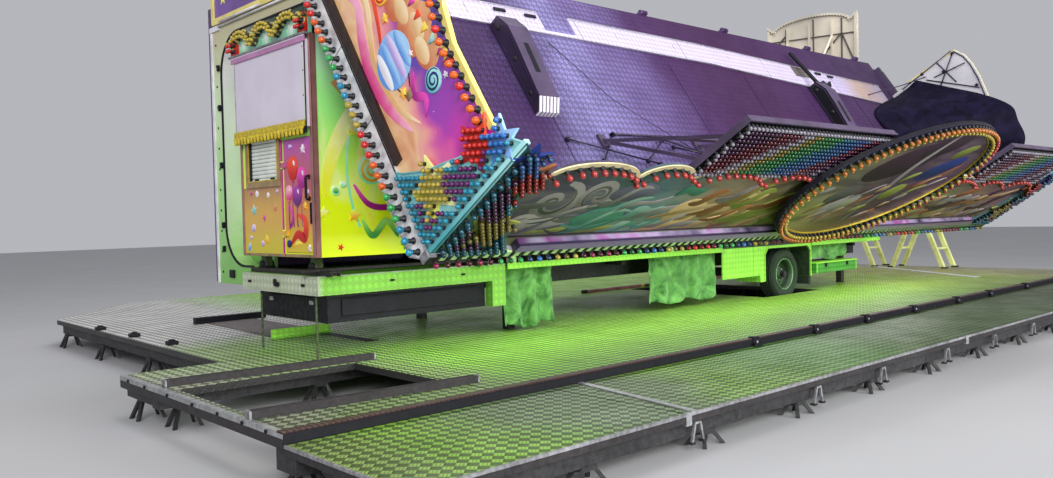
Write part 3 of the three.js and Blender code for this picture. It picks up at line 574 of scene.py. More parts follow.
def lime_paint():
    """Booth side: mint above, lime below, with pale yellow arcs of mist between."""
    paint = Paint("lime_paint", 0.3, 0.0, 0.35)
    x, _, z = paint.split(paint.place())
    place = paint.plus(paint.step(z, BOOTH_BOTTOM, BOOTH_TOP), paint.drift(0.06, 1.5))
    ground = paint.ramp(place, [
        (0.0, (0.84, 1.0, 0.005)), (0.3, (0.84, 1.0, 0.01)), (0.45, (0.6, 1.0, 0.1)),
        (0.7, (0.4, 1.0, 0.28)), (1.0, (0.6, 1.0, 0.68))], smooth=True)
    drawn = paint.join(paint.times(x, 1.6), paint.times(z, 0.7), 0.0)
    mist = paint.noise(1.7, 3.0, drawn, bend=0.8)
    glow = paint.times(paint.step(mist, 0.48, 0.66), paint.math("PINGPONG", place, 0.5))
    paint.colour(paint.mix(paint.times(glow, 1.7), ground, (0.9, 1.0, 0.45)))
    paint.grain(220.0)
    return paint.material


def height_paint(name, stops, low, high, rough=0.32, coat=0.3, wave=0.05):
    """Printed panel whose colour runs up its height, with soft cloudy borders."""
    paint = Paint(name, rough, 0.0, coat)
    z = paint.split(paint.place())[2]
    cloud = paint.drift(wave, 3.0, 4.0, bend=1.0)
    paint.colour(paint.ramp(paint.plus(paint.step(z, low, high), cloud), stops, smooth=True))
    paint.grain(220.0)
    return paint.material


def glossy_ledge():
    """Polished violet trim with painted reflection: light and dark streaks along it, glints and a bright
    streak along the fascia's foot, and a face underneath painted lighter than its top.
    """
    paint = Paint("ledge_gloss", 0.2, 0.0, 0.3)
    x, s, t = paint.split(paint.wing_place())
    # The streaks of light and dark along the trim are painted reflection.
    streaks = paint.noise(1.2, 3.0, paint.join(paint.times(x, 0.4), t, paint.times(s, 30.0)))
    body = paint.ramp(streaks, [(0.35, (0.012, 0.007, 0.022)), (0.55, (0.045, 0.028, 0.075)),
                                (0.75, (0.12, 0.08, 0.17))])
    glints = paint.ramp(paint.noise(1.7, 3.0, paint.join(x, s, t)), [
        (0.35, (0.05, 0.035, 0.09)), (0.5, (0.4, 0.33, 0.5)), (0.6, (0.4, 0.07, 0.36)),
        (0.72, (0.75, 0.7, 0.9))])
    # The face underneath is painted a lighter violet than the top: painted light.
    under = paint.math("LESS_THAN", s, -0.079)
    body = paint.mix(under, body, (0.17, 0.06, 0.3))
    high = paint.times(paint.step(s, -0.058, -0.045), paint.step(t, 0.096, 0.1))
    paint.colour(paint.mix(paint.times(high, paint.step(x, 0.5, 2.0)), body, glints))
    return paint.material


GREEN_DECK = [(0.0, (0.56, 0.6, 0.44)), (0.07, (0.5, 0.72, 0.26)), (0.16, (0.46, 0.98, 0.12)),
              (0.4, (0.5, 1.0, 0.12)), (0.62, (0.52, 1.0, 0.1)), (0.8, (0.62, 0.9, 0.1)),
              (0.9, (0.7, 0.7, 0.22)), (1.0, (0.55, 0.5, 0.32))]
OUTER_DECK = [(0.0, (0.25, 0.37, 0.1)), (0.05, (0.3, 0.58, 0.06)), (0.11, (0.26, 0.36, 0.2)),
              (0.15, (0.23, 0.33, 0.16)), (0.19, (0.28, 0.54, 0.06)), (0.3, (0.17, 0.45, 0.08)),
              (0.4, (0.18, 0.28, 0.12)), (0.55, (0.12, 0.2, 0.06)), (0.75, (0.1, 0.14, 0.05)),
              (1.0, (0.12, 0.12, 0.08))]
# The peach and orange stops a quarter of the way along are a painted reflection of a floodlight on the
# fascia.
FASCIA_STOPS = [(0.0, (0.1, 0.09, 0.11)), (0.1, (0.13, 0.115, 0.15)), (0.13, (0.08, 0.24, 0.17)),
                (0.17, (0.13, 0.27, 0.26)), (0.215, (0.22, 0.34, 0.27)), (0.25, (0.46, 0.36, 0.17)),
                (0.285, (0.46, 0.27, 0.09)), (0.33, (0.3, 0.26, 0.07)), (0.4, (0.32, 0.36, 0.06)),
                (0.55, (0.3, 0.36, 0.06)), (0.72, (0.26, 0.3, 0.08)), (0.82, (0.34, 0.18, 0.12)),
                (0.92, (0.3, 0.13, 0.16)), (1.0, (0.2, 0.12, 0.12))]
OVAL_STOPS = [(0.0, (0.36, 0.46, 0.05)), (0.2, (0.36, 0.38, 0.12)), (0.38, (0.22, 0.15, 0.08)),
              (0.52, (0.1, 0.04, 0.055)), (0.75, (0.15, 0.065, 0.14)), (1.0, (0.2, 0.09, 0.15))]

# Dark colour of the deck plates: their grime and the painted shade between and on their bars.
DIRT_AND_SHADE = (0.02, 0.032, 0.012)
# Near-black for the deck plates' upright faces: painted shade.
DECK_SIDE_SHADE = (0.03, 0.03, 0.028)

M = {name: bulb("bulb_" + name, colour) for name, colour in BULBS.items()}
M.update({name: gradient("print_" + name, *pair) for name, pair in GRADIENTS.items()})
M.update({
    "deck": tread_plate("deck_tread", deck_tint, DIRT_AND_SHADE, 0.066, seams=(2.5, 0.4), cell_shade=0.88,
                        sides=DECK_SIDE_SHADE),
    "outer_deck": tread_plate("outer_tread", along_x(OUTER_DECK, X_LEFT, X_RIGHT, 0.02), DIRT_AND_SHADE, 0.066,
                              cell_shade=0.88, sides=DECK_SIDE_SHADE),
    "green_tread": tread_plate("green_tread", even((0.38, 0.84, 0.1)), (0.14, 0.45, 0.02), cell_shade=0.35),
    "dark_green": tread_plate("box_tread", even((0.1, 0.42, 0.06)), (0.02, 0.1, 0.01), cell_shade=0.5),
    "silver_tread": tread_plate("silver_tread", band_tint, (0.34, 0.3, 0.42), turned=True, metal=0.3,
                                seams=(1.9, 0.55), cell_shade=0.5),
    "seam_brown": tread_plate("seam_tread", even((0.13, 0.075, 0.07)), (0.02, 0.009, 0.009), 0.03),
    "step": tread_plate("step_tread", step_tint, (0.14, 0.22, 0.06), cell_shade=0.3),
    "violet": tread_plate("violet_tread", wing_tint, (0.014, 0.006, 0.024), pitch=0.056, turned=True,
                          metal=0.0, rough=0.5, cell_shade=0.45),
    "roof_violet": tread_plate("roof_tread", even((0.13, 0.085, 0.2), 0.3, 0.8), (0.04, 0.024, 0.07),
                               metal=0.0, rough=0.45, cell_shade=0.4),
    "steel": speckled("dark_steel", (0.01, 0.01, 0.011), (0.04, 0.04, 0.042), 0.5, 0.2, 30.0),
    "rail": speckled("rail_steel", (0.009, 0.007, 0.008), (0.034, 0.028, 0.03), 0.5, 0.15, 25.0),
    "galvanized": speckled("galvanized", (0.3, 0.31, 0.32), (0.55, 0.56, 0.57), 0.4, 0.8, 20.0),
    "rubber": speckled("tyre_rubber", (0.008, 0.018, 0.008), (0.025, 0.05, 0.022), 0.75, 0.0),
    "white": painted("white_paint", (0.78, 0.76, 0.82), 0.35),
    "lilac_panel": painted("lilac_panel", (0.7, 0.64, 0.76), 0.4, wear=0.1, scale=2.0),
    "shutter": painted("shutter_slats", (0.8, 0.84, 0.78), 0.4, wear=0.15),
    "black": painted("black_paint", (0.006, 0.006, 0.01), 0.55, coat=0.0, gloss=0.25),
    "brown_frame": painted("brown_frame", (0.42, 0.28, 0.12), 0.35, 0.4),
    "pillar": painted("pillar_paint", (0.36, 0.16, 0.15), 0.35, 0.3),
    "gold_trim": painted("gold_trim", (0.68, 0.5, 0.04), 0.3, 0.5),
    "dark_plate": speckled("dark_plate", (0.09, 0.075, 0.07), (0.2, 0.17, 0.16), 0.5, 0.3, 20.0),
    "edge_grey": speckled("edge_grey", (0.16, 0.16, 0.17), (0.4, 0.4, 0.42), 0.4, 0.5, 25.0),
    "dark_bar": painted("dark_bar", (0.02, 0.012, 0.04), 0.35, 0.4),
    "arm_top": painted("arm_top", (0.07, 0.045, 0.1), 0.5, coat=0.0, wear=0.35, scale=3.0),
    # Half as bright as the arms' top colour, for their sides: painted shade.
    "arm_side_shaded": painted("arm_side_shaded", (0.035, 0.022, 0.055), 0.45, 0.1, wear=0.3, scale=3.0),
    "cream_trim": painted("cream_trim", (0.72, 0.62, 0.36), 0.4, wear=0.3, scale=5.0),
    "arch_dark": speckled("arch_dark", (0.008, 0.02, 0.006), (0.03, 0.07, 0.02), 0.6, 0.0, 20.0),
    "rim_dark": speckled("rim_dark", (0.012, 0.03, 0.012), (0.04, 0.08, 0.035), 0.45, 0.3, 30.0),
    "rim_light": painted("rim_light", (0.16, 0.36, 0.14), 0.4, 0.4, wear=0.3, scale=9.0),
    "mauve": painted("mauve_edge", (0.5, 0.2, 0.42), 0.35, scale=3.0),
    "fringe": painted("fringe_gold", (0.6, 0.46, 0.02), 0.5, coat=0.0, wear=0.4, scale=30.0),
    "mint": height_paint("portal_mint", [(0.0, (0.2, 0.5, 0.1)), (0.35, (0.4, 0.75, 0.25)),
                                         (0.7, (0.66, 0.82, 0.5)), (1.0, (0.55, 0.5, 0.3))],
                         1.0, 3.9),
    "portal_edge": height_paint("portal_edge", [(0.0, (0.35, 0.6, 0.2)), (0.4, (0.62, 0.72, 0.55)),
                                                (1.0, (0.72, 0.66, 0.76))], 1.0, 3.9),
    "yellow": painted("yellow_border", (0.85, 0.72, 0.2), 0.35, wear=0.15),
    "gable_purple": painted("gable_purple", (0.16, 0.06, 0.34), 0.35, scale=2.0),
    "gable_white": painted("gable_white", (0.66, 0.6, 0.48), 0.45, wear=0.3, scale=1.2),
    "board_white": board_paint(),
    "sign_body": painted("sign_body", (0.075, 0.052, 0.1), 0.45, coat=0.0, wear=0.4, scale=4.0),
    "tube_tan": painted("tube_tan", (0.1, 0.085, 0.075), 0.4, 0.2),
    "cream_paint": painted("cream_paint", (0.82, 0.86, 0.32), 0.45),
    "pink_pole": painted("pink_pole", (0.42, 0.16, 0.17), 0.55, wear=0.4, scale=4.0),
    "aqua": painted("aqua_board", (0.28, 0.72, 0.74), 0.3, wear=0.2, scale=3.0),
    # Darker aqua for the front star leaves' board and rim: painted shade.
    "aqua_shaded": painted("aqua_shaded", (0.03, 0.12, 0.14), 0.35, wear=0.3, scale=3.0),
    "beam": painted("beam_brown", (0.02, 0.008, 0.007), 0.42, coat=0.0, wear=0.5, scale=4.0),
    "strip": painted("silver_strip", (0.8, 0.8, 0.83), 0.35, 0.15, wear=0.45, scale=9.0),
    "socket": painted("socket_black", (0.006, 0.006, 0.008), 0.5, coat=0.0),
    "strip_green": painted("strip_green", (0.62, 0.95, 0.42), 0.35, scale=8.0),
    "chrome": speckled("bright_steel", (0.5, 0.5, 0.52), (0.8, 0.8, 0.82), 0.22, 0.9, 40.0),
    "tarp": cloth("green_tarp", (0.012, 0.09, 0.01), (0.17, 0.46, 0.1), gloss=0.3),
    "black_tarp": cloth("black_tarp", (0.002, 0.0015, 0.006), (0.011, 0.008, 0.03), 0.6, 0.0, 0.06),
    "sky": sky_board(),
    "flames": flame_paint("fascia_flames", FASCIA_STOPS, 0.0, WING_RIGHT, 0.55, (0.6, 0.58, 0.68)),
    "oval": flame_paint("oval_flames", OVAL_STOPS, OVAL["x"] - OVAL["length"],
                        OVAL["x"] + OVAL["length"], 0.9, (0.55, 0.5, 0.55)),
    "lime": lime_paint(),
    "door": height_paint("door_print", [(0.0, (0.72, 0.55, 0.02)), (0.35, (0.68, 0.28, 0.03)),
                                        (0.65, (0.5, 0.1, 0.16)), (1.0, (0.48, 0.05, 0.42))],
                         1.35, 2.5),
    "panel": height_paint("panel_print", [(0.0, (0.66, 0.56, 0.02)), (0.5, (0.72, 0.42, 0.06)),
                                          (1.0, (0.42, 0.2, 0.08))], 1.35, 2.1),
    "ledge": glossy_ledge(),
    "crest": height_paint("crest_mint", [(0.0, (0.25, 0.62, 0.45)), (1.0, (0.65, 0.95, 0.75))],
                          BOOTH_TOP, BOOTH_TOP + 0.35),
})


# Meshes


def flat_uvs(corners):
    """Places from 0 to 1 over a shape's own width and depth."""
    low, high = corners.min(0), corners.max(0)
    return ((corners - low) / np.maximum(high - low, 1e-6))[:, :2]


class Piece:
    """Gathers the faces of one object, then makes it and lets it ride on a body."""

    def __init__(self, name, body="trailer", replaces=(), slot=None):
        self.name, self.body, self.replaced, self.slot = name, body, replaces, slot
        self.corners, self.polygons, self.indices, self.uvs, self.smooth = [], [], [], [], []
        self.paints, self.count = [], 0

    def add(self, shape, paint, matrix=PLAIN, smooth=False, uvs=None):
        """A shape (corners, polygons) in one paint, placed by a matrix."""
        corners, polygons = shape
        corners = np.asarray(corners, float)
        turn = np.array(matrix)
        if np.linalg.det(turn[:3, :3]) < 0:
            polygons = [tuple(reversed(p)) for p in polygons]
        if uvs is None:
            uvs = flat_uvs(corners)
        if paint not in self.paints:
            self.paints.append(paint)
        index = self.paints.index(paint)
        start = self.count
        self.corners.append(corners @ turn[:3, :3].T + turn[:3, 3])
        self.polygons.extend(tuple(start + i for i in p) for p in polygons)
        self.indices.extend([index] * len(polygons))
        self.smooth.extend([smooth] * len(polygons))
        self.uvs.append(uvs)
        self.count += len(corners)
        return self

    def box(self, paint, low, high, edge=EDGE, matrix=PLAIN):
        """A box with chamfered edges, between two corners."""
        return self.add(block(low, high, edge), paint, matrix)

    def slab(self, paint, outline, low, high, matrix):
        """A flat outline between two heights over a face."""
        return self.add(prism(outline, low, high), paint, matrix)

    def copies(self, shape, paint, places, matrix, smooth=True):
        """The same shape at many places (u, v, out) of one face."""
        if not len(places):
            return self
        corners, polygons = shape
        corners = np.asarray(corners, float)
        places = np.asarray(places, float)
        moved = (corners[None] + places[:, None]).reshape(-1, 3)
        number = len(corners)
        many = [tuple(i + k * number for i in p) for k in range(len(places)) for p in polygons]
        return self.add((moved, many), paint, matrix, smooth, np.tile(flat_uvs(corners), (len(places), 1)))

    def done(self):
        """Makes the object, lets it ride on its body and hides the imported parts it replaces."""
        mesh = bpy.data.meshes.new(self.name)
        mesh.from_pydata(np.concatenate(self.corners).tolist(), [], self.polygons)
        for paint in self.paints:
            mesh.materials.append(M[paint])
        mesh.polygons.foreach_set("material_index", np.array(self.indices, np.int32))
        mesh.polygons.foreach_set("use_smooth", np.array(self.smooth, bool))
        loops = np.empty(len(mesh.loops), np.int32)
        mesh.loops.foreach_get("vertex_index", loops)
        layer = mesh.uv_layers.new(name="UVMap")
        layer.data.foreach_set("uv", np.concatenate(self.uvs)[loops].astype(np.float32).ravel())
        mesh.update()
        made = bpy.data.objects.new(self.name, mesh)
        bpy.context.scene.collection.objects.link(made)
        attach(made, self.body)
        if self.replaced:
            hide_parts(*self.replaced)
        return made


class Strip(list):
    """Outline of a band: its left side and then its right side back, filled in short quads."""

    def __init__(self, left, right, closed=False):
        super().__init__(left + right[::-1])
        self.closed = closed


def strip_prism(strip, low, high):
    """A band's outline with some thickness, made of short quads."""
    half = len(strip) // 2
    left, right = strip[:half], strip[half:][::-1]
    corners = [(u, v, w) for w in (low, high) for u, v in left + right]
    polygons = []
    for i in range(half if strip.closed else half - 1):
        j = (i + 1) % half
        a, b, c, d = i, j, half + i, half + j
        e, f, g, h = (k + 2 * half for k in (a, b, c, d))
        polygons += [(g, h, f, e), (a, b, d, c), (b, a, e, f), (c, d, h, g)]
    if not strip.closed:
        last = half - 1
        polygons += [(0, half, 3 * half, 2 * half),
                     (last, 2 * half + last, 3 * half + last, half + last)]
    return corners, polygons


def winding(outline):
    """Twice an outline's area, positive where it runs anticlockwise."""
    return sum(a[0] * b[1] - b[0] * a[1] for a, b in zip(outline[-1:] + outline[:-1], outline))


def prism(outline, low, high):
    """A flat outline of (u, v) points with some thickness, as a closed solid."""
    if isinstance(outline, Strip):
        return strip_prism(outline, low, high)
    number = len(outline)
    if winding(outline) < 0:
        outline = outline[::-1]
    corners = [(u, v, low) for u, v in outline] + [(u, v, high) for u, v in outline]
    polygons = [tuple(range(number - 1, -1, -1)), tuple(range(number, 2 * number))]
    for i in range(number):
        j = (i + 1) % number
        polygons.append((i, j, number + j, number + i))
    return corners, polygons


def corner_signs(axis, ends):
    """Which end of each axis a corner lies at, from its ends along this axis and the next two."""
    signs = [0, 0, 0]
    for step, end in enumerate(ends):
        signs[(axis + step) % 3] = end
    return tuple(signs)


def block_faces():
    """Keys (corner, axis) of each face of a chamfered box: sides, chamfers and corner faces."""
    faces = []
    for axis in range(3):
        b, c = (axis + 1) % 3, (axis + 2) % 3
        for side in (0, 1):
            faces.append([(corner_signs(axis, (side, *ends)), axis)
                          for ends in ((0, 0), (1, 0), (1, 1), (0, 1))])
        for ends in ((0, 0), (0, 1), (1, 0), (1, 1)):
            first, second = (corner_signs(axis, (side, *ends)) for side in (0, 1))
            faces.append([(first, b), (first, c), (second, c), (second, b)])
    return faces + [[(signs, 0), (signs, 1), (signs, 2)] for signs in np.ndindex(2, 2, 2)]


def block(low, high, edge=EDGE):
    """A box with narrow chamfers along all its edges."""
    low, high = np.array(low, float), np.array(high, float)
    edge = min(edge, 0.45 * float((high - low).min()))
    corners, index = [], {}
    for signs in np.ndindex(2, 2, 2):
        corner = np.where(signs, high, low)
        for axis in range(3):
            point = corner + np.where(signs, -edge, edge)
            point[axis] = corner[axis]
            index[(signs, axis)] = len(corners)
            corners.append(point)
    polygons, middle = [], (low + high) / 2
    for keys in block_faces():
        order = tuple(index[k] for k in keys)
        points = np.array([corners[k] for k in order])
        normal = np.cross(points[1] - points[0], points[2] - points[0])
        polygons.append(order if normal @ (points.mean(0) - middle) > 0 else order[::-1])
    return corners, polygons


def circle(sides):
    """Cosine and sine of evenly spaced angles."""
    angles = [2 * math.pi * k / sides for k in range(sides)]
    return [(math.cos(a), math.sin(a)) for a in angles]


def turned_profile(profile, sides=12):
    """A closed solid turned about its own third axis from (radius, height) points."""
    corners, polygons, rings = [], [], []
    for radius, height in profile:
        if radius < 1e-6:
            rings.append([len(corners)])
            corners.append((0.0, 0.0, height))
            continue
        start = len(corners)
        corners += [(radius * c, radius * s, height) for c, s in circle(sides)]
        rings.append(list(range(start, start + sides)))
    for lower, upper in zip(rings, rings[1:]):
        for k in range(sides):
            n = (k + 1) % sides
            if len(lower) == 1:
                polygons.append((lower[0], upper[n], upper[k]))
            elif len(upper) == 1:
                polygons.append((lower[k], lower[n], upper[0]))
            else:
                polygons.append((lower[k], lower[n], upper[n], upper[k]))
    if len(rings[0]) > 1:
        polygons.append(tuple(reversed(rings[0])))
    if len(rings[-1]) > 1:
        polygons.append(tuple(rings[-1]))
    return corners, polygons


def ring_profile(profile, sides):
    """A closed ring turned about its third axis from a closed (radius, height) outline."""
    corners, polygons = [(r * c, r * s, h) for c, s in circle(sides) for r, h in profile], []
    number, outwards = len(profile), winding(profile) > 0
    for k in range(sides):
        n = (k + 1) % sides
        for i in range(number):
            j = (i + 1) % number
            face = (k * number + i, n * number + i, n * number + j, k * number + j)
            polygons.append(face if outwards else face[::-1])
    return corners, polygons


def tube(points, radius, sides=8):
    """A round bar along a line of points, closed at both ends."""
    points = [Vector(p) for p in points]
    corners, polygons = [], []
    side = None
    for i, point in enumerate(points):
        ahead = (points[min(i + 1, len(points) - 1)] - points[max(i - 1, 0)]).normalized()
        if side is None:
            side = ahead.orthogonal().normalized()
        side = (side - ahead * side.dot(ahead)).normalized()
        other = ahead.cross(side)
        corners += [tuple(point + (side * c + other * s) * radius) for c, s in circle(sides)]
    for i in range(len(points) - 1):
        for k in range(sides):
            n = (k + 1) % sides
            a, b = i * sides, (i + 1) * sides
            polygons.append((a + k, a + n, b + n, b + k))
    polygons.append(tuple(range(sides - 1, -1, -1)))
    last = (len(points) - 1) * sides
    polygons.append(tuple(range(last, last + sides)))
    return corners, polygons


def shell(layers):
    """Two grids of points joined round their rims, as one closed thin shell."""
    columns, rows = layers[0].shape[0] - 1, layers[0].shape[1] - 1
    corners = np.concatenate([layer.reshape(-1, 3) for layer in layers])
    total = (columns + 1) * (rows + 1)
    polygons = []
    for i in range(columns):
        for j in range(rows):
            a, b = i * (rows + 1) + j, (i + 1) * (rows + 1) + j
            polygons.append((a, b, b + 1, a + 1))
            polygons.append((total + a, total + a + 1, total + b + 1, total + b))
    rim = [i * (rows + 1) for i in range(columns + 1)]
    rim += [columns * (rows + 1) + j for j in range(1, rows + 1)]
    rim += [i * (rows + 1) + rows for i in range(columns - 1, -1, -1)]
    rim += list(range(rows - 1, 0, -1))
    for a, b in zip(rim, rim[1:] + rim[:1]):
        polygons.append((b, a, total + a, total + b))
    first = np.cross(layers[0][1, 0] - layers[0][0, 0], layers[0][0, 1] - layers[0][0, 0])
    if first @ (layers[0][0, 0] - layers[1][0, 0]) < 0:
        polygons = [p[::-1] for p in polygons]
    return corners, polygons


def thickened(middle, half):
    """A grid of points moved both ways along its normals, the upper layer first."""
    ahead, across = np.gradient(middle, axis=0), np.gradient(middle, axis=1)
    normal = np.cross(ahead, across)
    normal /= np.maximum(np.linalg.norm(normal, axis=2, keepdims=True), 1e-9)
    if normal[:, :, 2].mean() < 0:
        normal = -normal
    return [middle + normal * half, middle - normal * half]


# Outlines, all lists of (u, v) points


def placed(points, u, v, turn):
    """Points turned about zero by an angle in radians, then moved to (u, v)."""
    c, s = math.cos(turn), math.sin(turn)
    return [(u + x * c - y * s, v + x * s + y * c) for x, y in points]


def ellipse(u, v, radius, height=None, number=24, turn=0.0):
    """An ellipse, or a circle where no height is given."""
    height = radius if height is None else height
    return placed([(radius * c, height * s) for c, s in circle(number)], u, v, turn)


def star(u, v, radius, inner=0.42, points=5, turn=90.0):
    """A star whose first point lies at the angle turn, in degrees."""
    outline = []
    for k in range(2 * points):
        r = radius * (inner if k % 2 else 1.0)
        a = math.radians(turn) + math.pi * k / points
        outline.append((u + r * math.cos(a), v + r * math.sin(a)))
    return outline


def rect(u0, v0, u1, v1):
    """A rectangle between two opposite corners."""
    return [(u0, v0), (u1, v0), (u1, v1), (u0, v1)]


def smooth_line(points, steps=8):
    """A curve through the points."""
    line = []
    padded = [points[0], *points, points[-1]]
    for i in range(1, len(padded) - 2):
        p0, p1, p2, p3 = (np.array(padded[i + k], float) for k in (-1, 0, 1, 2))
        for k in range(steps):
            t = k / steps
            line.append(0.5 * (2 * p1 + (p2 - p0) * t + (2 * p0 - 5 * p1 + 4 * p2 - p3) * t ** 2
                               + (3 * p1 - p0 - 3 * p2 + p3) * t ** 3))
    line.append(np.array(points[-1], float))
    return line


def smooth_line3(points, steps):
    """A curve through points in space."""
    flat = smooth_line([(x, z) for x, _, z in points], steps)
    width = smooth_line([(y, z) for _, y, z in points], steps)
    return [(float(a[0]), float(b[0]), float(a[1])) for a, b in zip(flat, width)]


def ribbon(points, width, ends=(0.05, 0.05), steps=8):
    """A band along a curve, widest in its middle; ends give its share of width at each tip."""
    line = smooth_line(points, steps)
    left, right = [], []
    for i, point in enumerate(line):
        ahead = line[min(i + 1, len(line) - 1)] - line[max(i - 1, 0)]
        ahead = ahead / max(1e-9, float(np.hypot(*ahead)))
        share = i / (len(line) - 1)
        tip = ends[0] * (1 - share) + ends[1] * share
        half = 0.5 * width * (tip + (1 - tip) * math.sin(math.pi * share) ** 0.7)
        normal = np.array((-ahead[1], ahead[0])) * half
        left.append(tuple(point + normal))
        right.append(tuple(point - normal))
    return Strip(left, right)


def spiral(u, v, radius, turns, width, start=0.0, inner=0.15):
    """A band that winds outwards; start is its inner end's angle in degrees."""
    number = int(12 * abs(turns)) + 4
    points = []
    for k in range(number):
        share = k / (number - 1)
        r = radius * (inner + (1 - inner) * share)
        a = math.radians(start) + 2 * math.pi * turns * share
        points.append((u + r * math.cos(a), v + r * math.sin(a)))
    return ribbon(points, width, (0.1, 0.3), 3)


def crescent(u, v, radius, turn=0.0):
    """A thin moon, turned by an angle in degrees."""
    angles = [math.radians(-100 + 200 * k / 12) for k in range(13)]
    points = [(radius * math.cos(a), radius * math.sin(a)) for a in angles]
    points += [(radius * 0.8 * math.cos(a) - radius * 0.32, radius * 0.98 * math.sin(a))
               for a in reversed(angles)]
    return placed(points, u, v, math.radians(turn))


def band(line, width, closed=False):
    """A band of even width along a line of (u, v) points, mitred at its corners."""
    line = [np.array(p, float) for p in line]
    number = len(line)
    left, right = [], []
    for i, point in enumerate(line):
        before = point - line[i - 1] if i or closed else line[1] - point
        after = line[(i + 1) % number] - point if i < number - 1 or closed else before
        before, after = (d / max(1e-9, float(np.hypot(*d))) for d in (before, after))
        middle = before + after
        middle = middle / max(1e-9, float(np.hypot(*middle)))
        reach = width / 2 / max(0.4, float(middle @ after))
        normal = np.array((-middle[1], middle[0])) * reach
        left.append(tuple(point + normal))
        right.append(tuple(point - normal))
    return Strip(left, right, closed)


def arc_line(u, v, radius, start, end, steps=10, height=None):
    """Points along an arc between two angles in degrees."""
    height = radius if height is None else height
    return [(u + radius * math.cos(math.radians(start + (end - start) * k / steps)),
             v + height * math.sin(math.radians(start + (end - start) * k / steps)))
            for k in range(steps + 1)]


def inside(point, outline):
    """Whether a point lies within an outline."""
    u, v = point
    hit = False
    for (u0, v0), (u1, v1) in zip(outline, outline[1:] + outline[:1]):
        if (v0 > v) != (v1 > v) and u < (u1 - u0) * (v - v0) / (v1 - v0) + u0:
            hit = not hit
    return hit


def edge_distance(point, outline):
    """Distance from a point to the nearest part of an outline."""
    best = 1e9
    for a, b in zip(outline, outline[1:] + outline[:1]):
        a, b, p = np.array(a), np.array(b), np.array(point)
        d = b - a
        t = max(0.0, min(1.0, float((p - a) @ d / max(1e-12, float(d @ d)))))
        best = min(best, float(np.hypot(*(p - a - t * d))))
    return best


def along(line, pitch, start=0.0):
    """Points spaced evenly along a line of (u, v) points."""
    found, left = [], start
    for a, b in zip(line, line[1:]):
        a, b = np.array(a, float), np.array(b, float)
        length = float(np.hypot(*(b - a)))
        while left <= length:
            found.append(tuple(a + (b - a) * left / max(length, 1e-9)))
            left += pitch
        left -= length
    return found


def clipped(outline, low=FASCIA_LOW, high=FASCIA_HIGH):
    """The outline with every height kept between low and high."""
    outline[:] = [(u, min(max(v, low), high)) for u, v in outline]
    return outline


def along_path(path, share):
    """The point at a share of a path's corners, evenly from corner to corner."""
    place = share * (len(path) - 1)
    k = min(int(place), len(path) - 2)
    a, b = np.array(path[k], float), np.array(path[k + 1], float)
    return a + (b - a) * (place - k)


def lattice(outline, pitch, margin):
    """Staggered rows of points inside an outline, kept off its edge."""
    us, vs = [p[0] for p in outline], [p[1] for p in outline]
    found = []
    rows = int((max(vs) - min(vs)) / (pitch * 0.87)) + 1
    for row in range(rows):
        v = min(vs) + margin + row * pitch * 0.87
        columns = int((max(us) - min(us)) / pitch) + 1
        for column in range(columns):
            point = (min(us) + margin + (column + 0.5 * (row % 2)) * pitch, v)
            if inside(point, outline) and edge_distance(point, outline) > margin * 0.8:
                found.append(point)
    return found


# Lamps, each a black socket with a coloured cap, and printed shapes


def lamp_socket(size, height, lean):
    """The black holder under a lamp's cap."""
    if lean:
        return turned_profile([(0.021 * size, 0.0), (0.019 * size, height)], 6)
    return turned_profile([(0.026 * size, 0.0), (0.026 * size, 0.01), (0.017 * size, 0.016),
                           (0.017 * size, height)], 8)


def lamp_cap(size, height, lean):
    """The coloured cap, rounded at its end."""
    profile = [(0.0, -0.004), (0.013, -0.002), (0.024, 0.012), (0.028, 0.028), (0.023, 0.043),
               (0.012, 0.052), (0.0, 0.055)]
    if lean:
        profile = [(0.0, -0.002), (0.02, 0.008), (0.027, 0.026), (0.017, 0.047), (0.0, 0.054)]
    return turned_profile([(r * size, height + h * size) for r, h in profile], 8 if lean else 10)


def lamps(piece, matrix, places, out=0.0, size=1.0, height=0.045, lean=False):
    """A lamp at each place (u, v, colour) of a face; lean lamps have fewer faces."""
    spots = [(u, v, out) for u, v, _ in places]
    piece.copies(lamp_socket(size, height, lean), "socket", spots, matrix)
    for colour in sorted({c for _, _, c in places}):
        chosen = [(u, v, out) for u, v, c in places if c == colour]
        piece.copies(lamp_cap(size, height, lean), colour, chosen, matrix)


def marks(*rows):
    """Stars and dots: middle, radius, colour and, for a star, the turn of its first point."""
    return [(star(u, v, r, turn=turn[0]) if turn else ellipse(u, v, r), paint)
            for u, v, r, paint, *turn in rows]


def pictures(piece, matrix, shapes, out=0.0, lift=0.0006):
    """Printed shapes laid one on another: a list of (outline, paint)."""
    for layer, (outline, paint) in enumerate(shapes):
        top = out + 0.0015 + lift * layer
        piece.slab(paint, outline, out + 0.0004, top, matrix)


# Stage


def make_camera():
    """The photograph's point of view."""
    data = bpy.data.cameras.new("camera")
    data.lens = LENS
    data.sensor_width = 36.0
    data.clip_start, data.clip_end = 0.1, 300.0
    camera = bpy.data.objects.new("camera", data)
    camera.location = at(*EYE)
    camera.rotation_euler = [math.radians(a) for a in CAMERA_TURN]
    bpy.context.scene.collection.objects.link(camera)
    bpy.context.scene.camera = camera


def area_light(name, place, size, power, target, depth, beam):
    """A soft rectangular lamp that shines at a target, or straight down, and isn't seen itself.
    The beam is the full angle in degrees that its light fans out over."""
    data = bpy.data.lights.new(name, "AREA")
    data.shape = "RECTANGLE"
    data.size, data.size_y, data.energy = size, depth or size, power
    data.spread = math.radians(beam)
    light = bpy.data.objects.new(name, data)
    light.location = at(*place)
    light.rotation_mode = "QUATERNION"
    if target:
        aim = at(*target) - light.location
        light.rotation_quaternion = aim.to_track_quat("-Z", "Y")
    light.visible_camera = False
    bpy.context.scene.collection.objects.link(light)


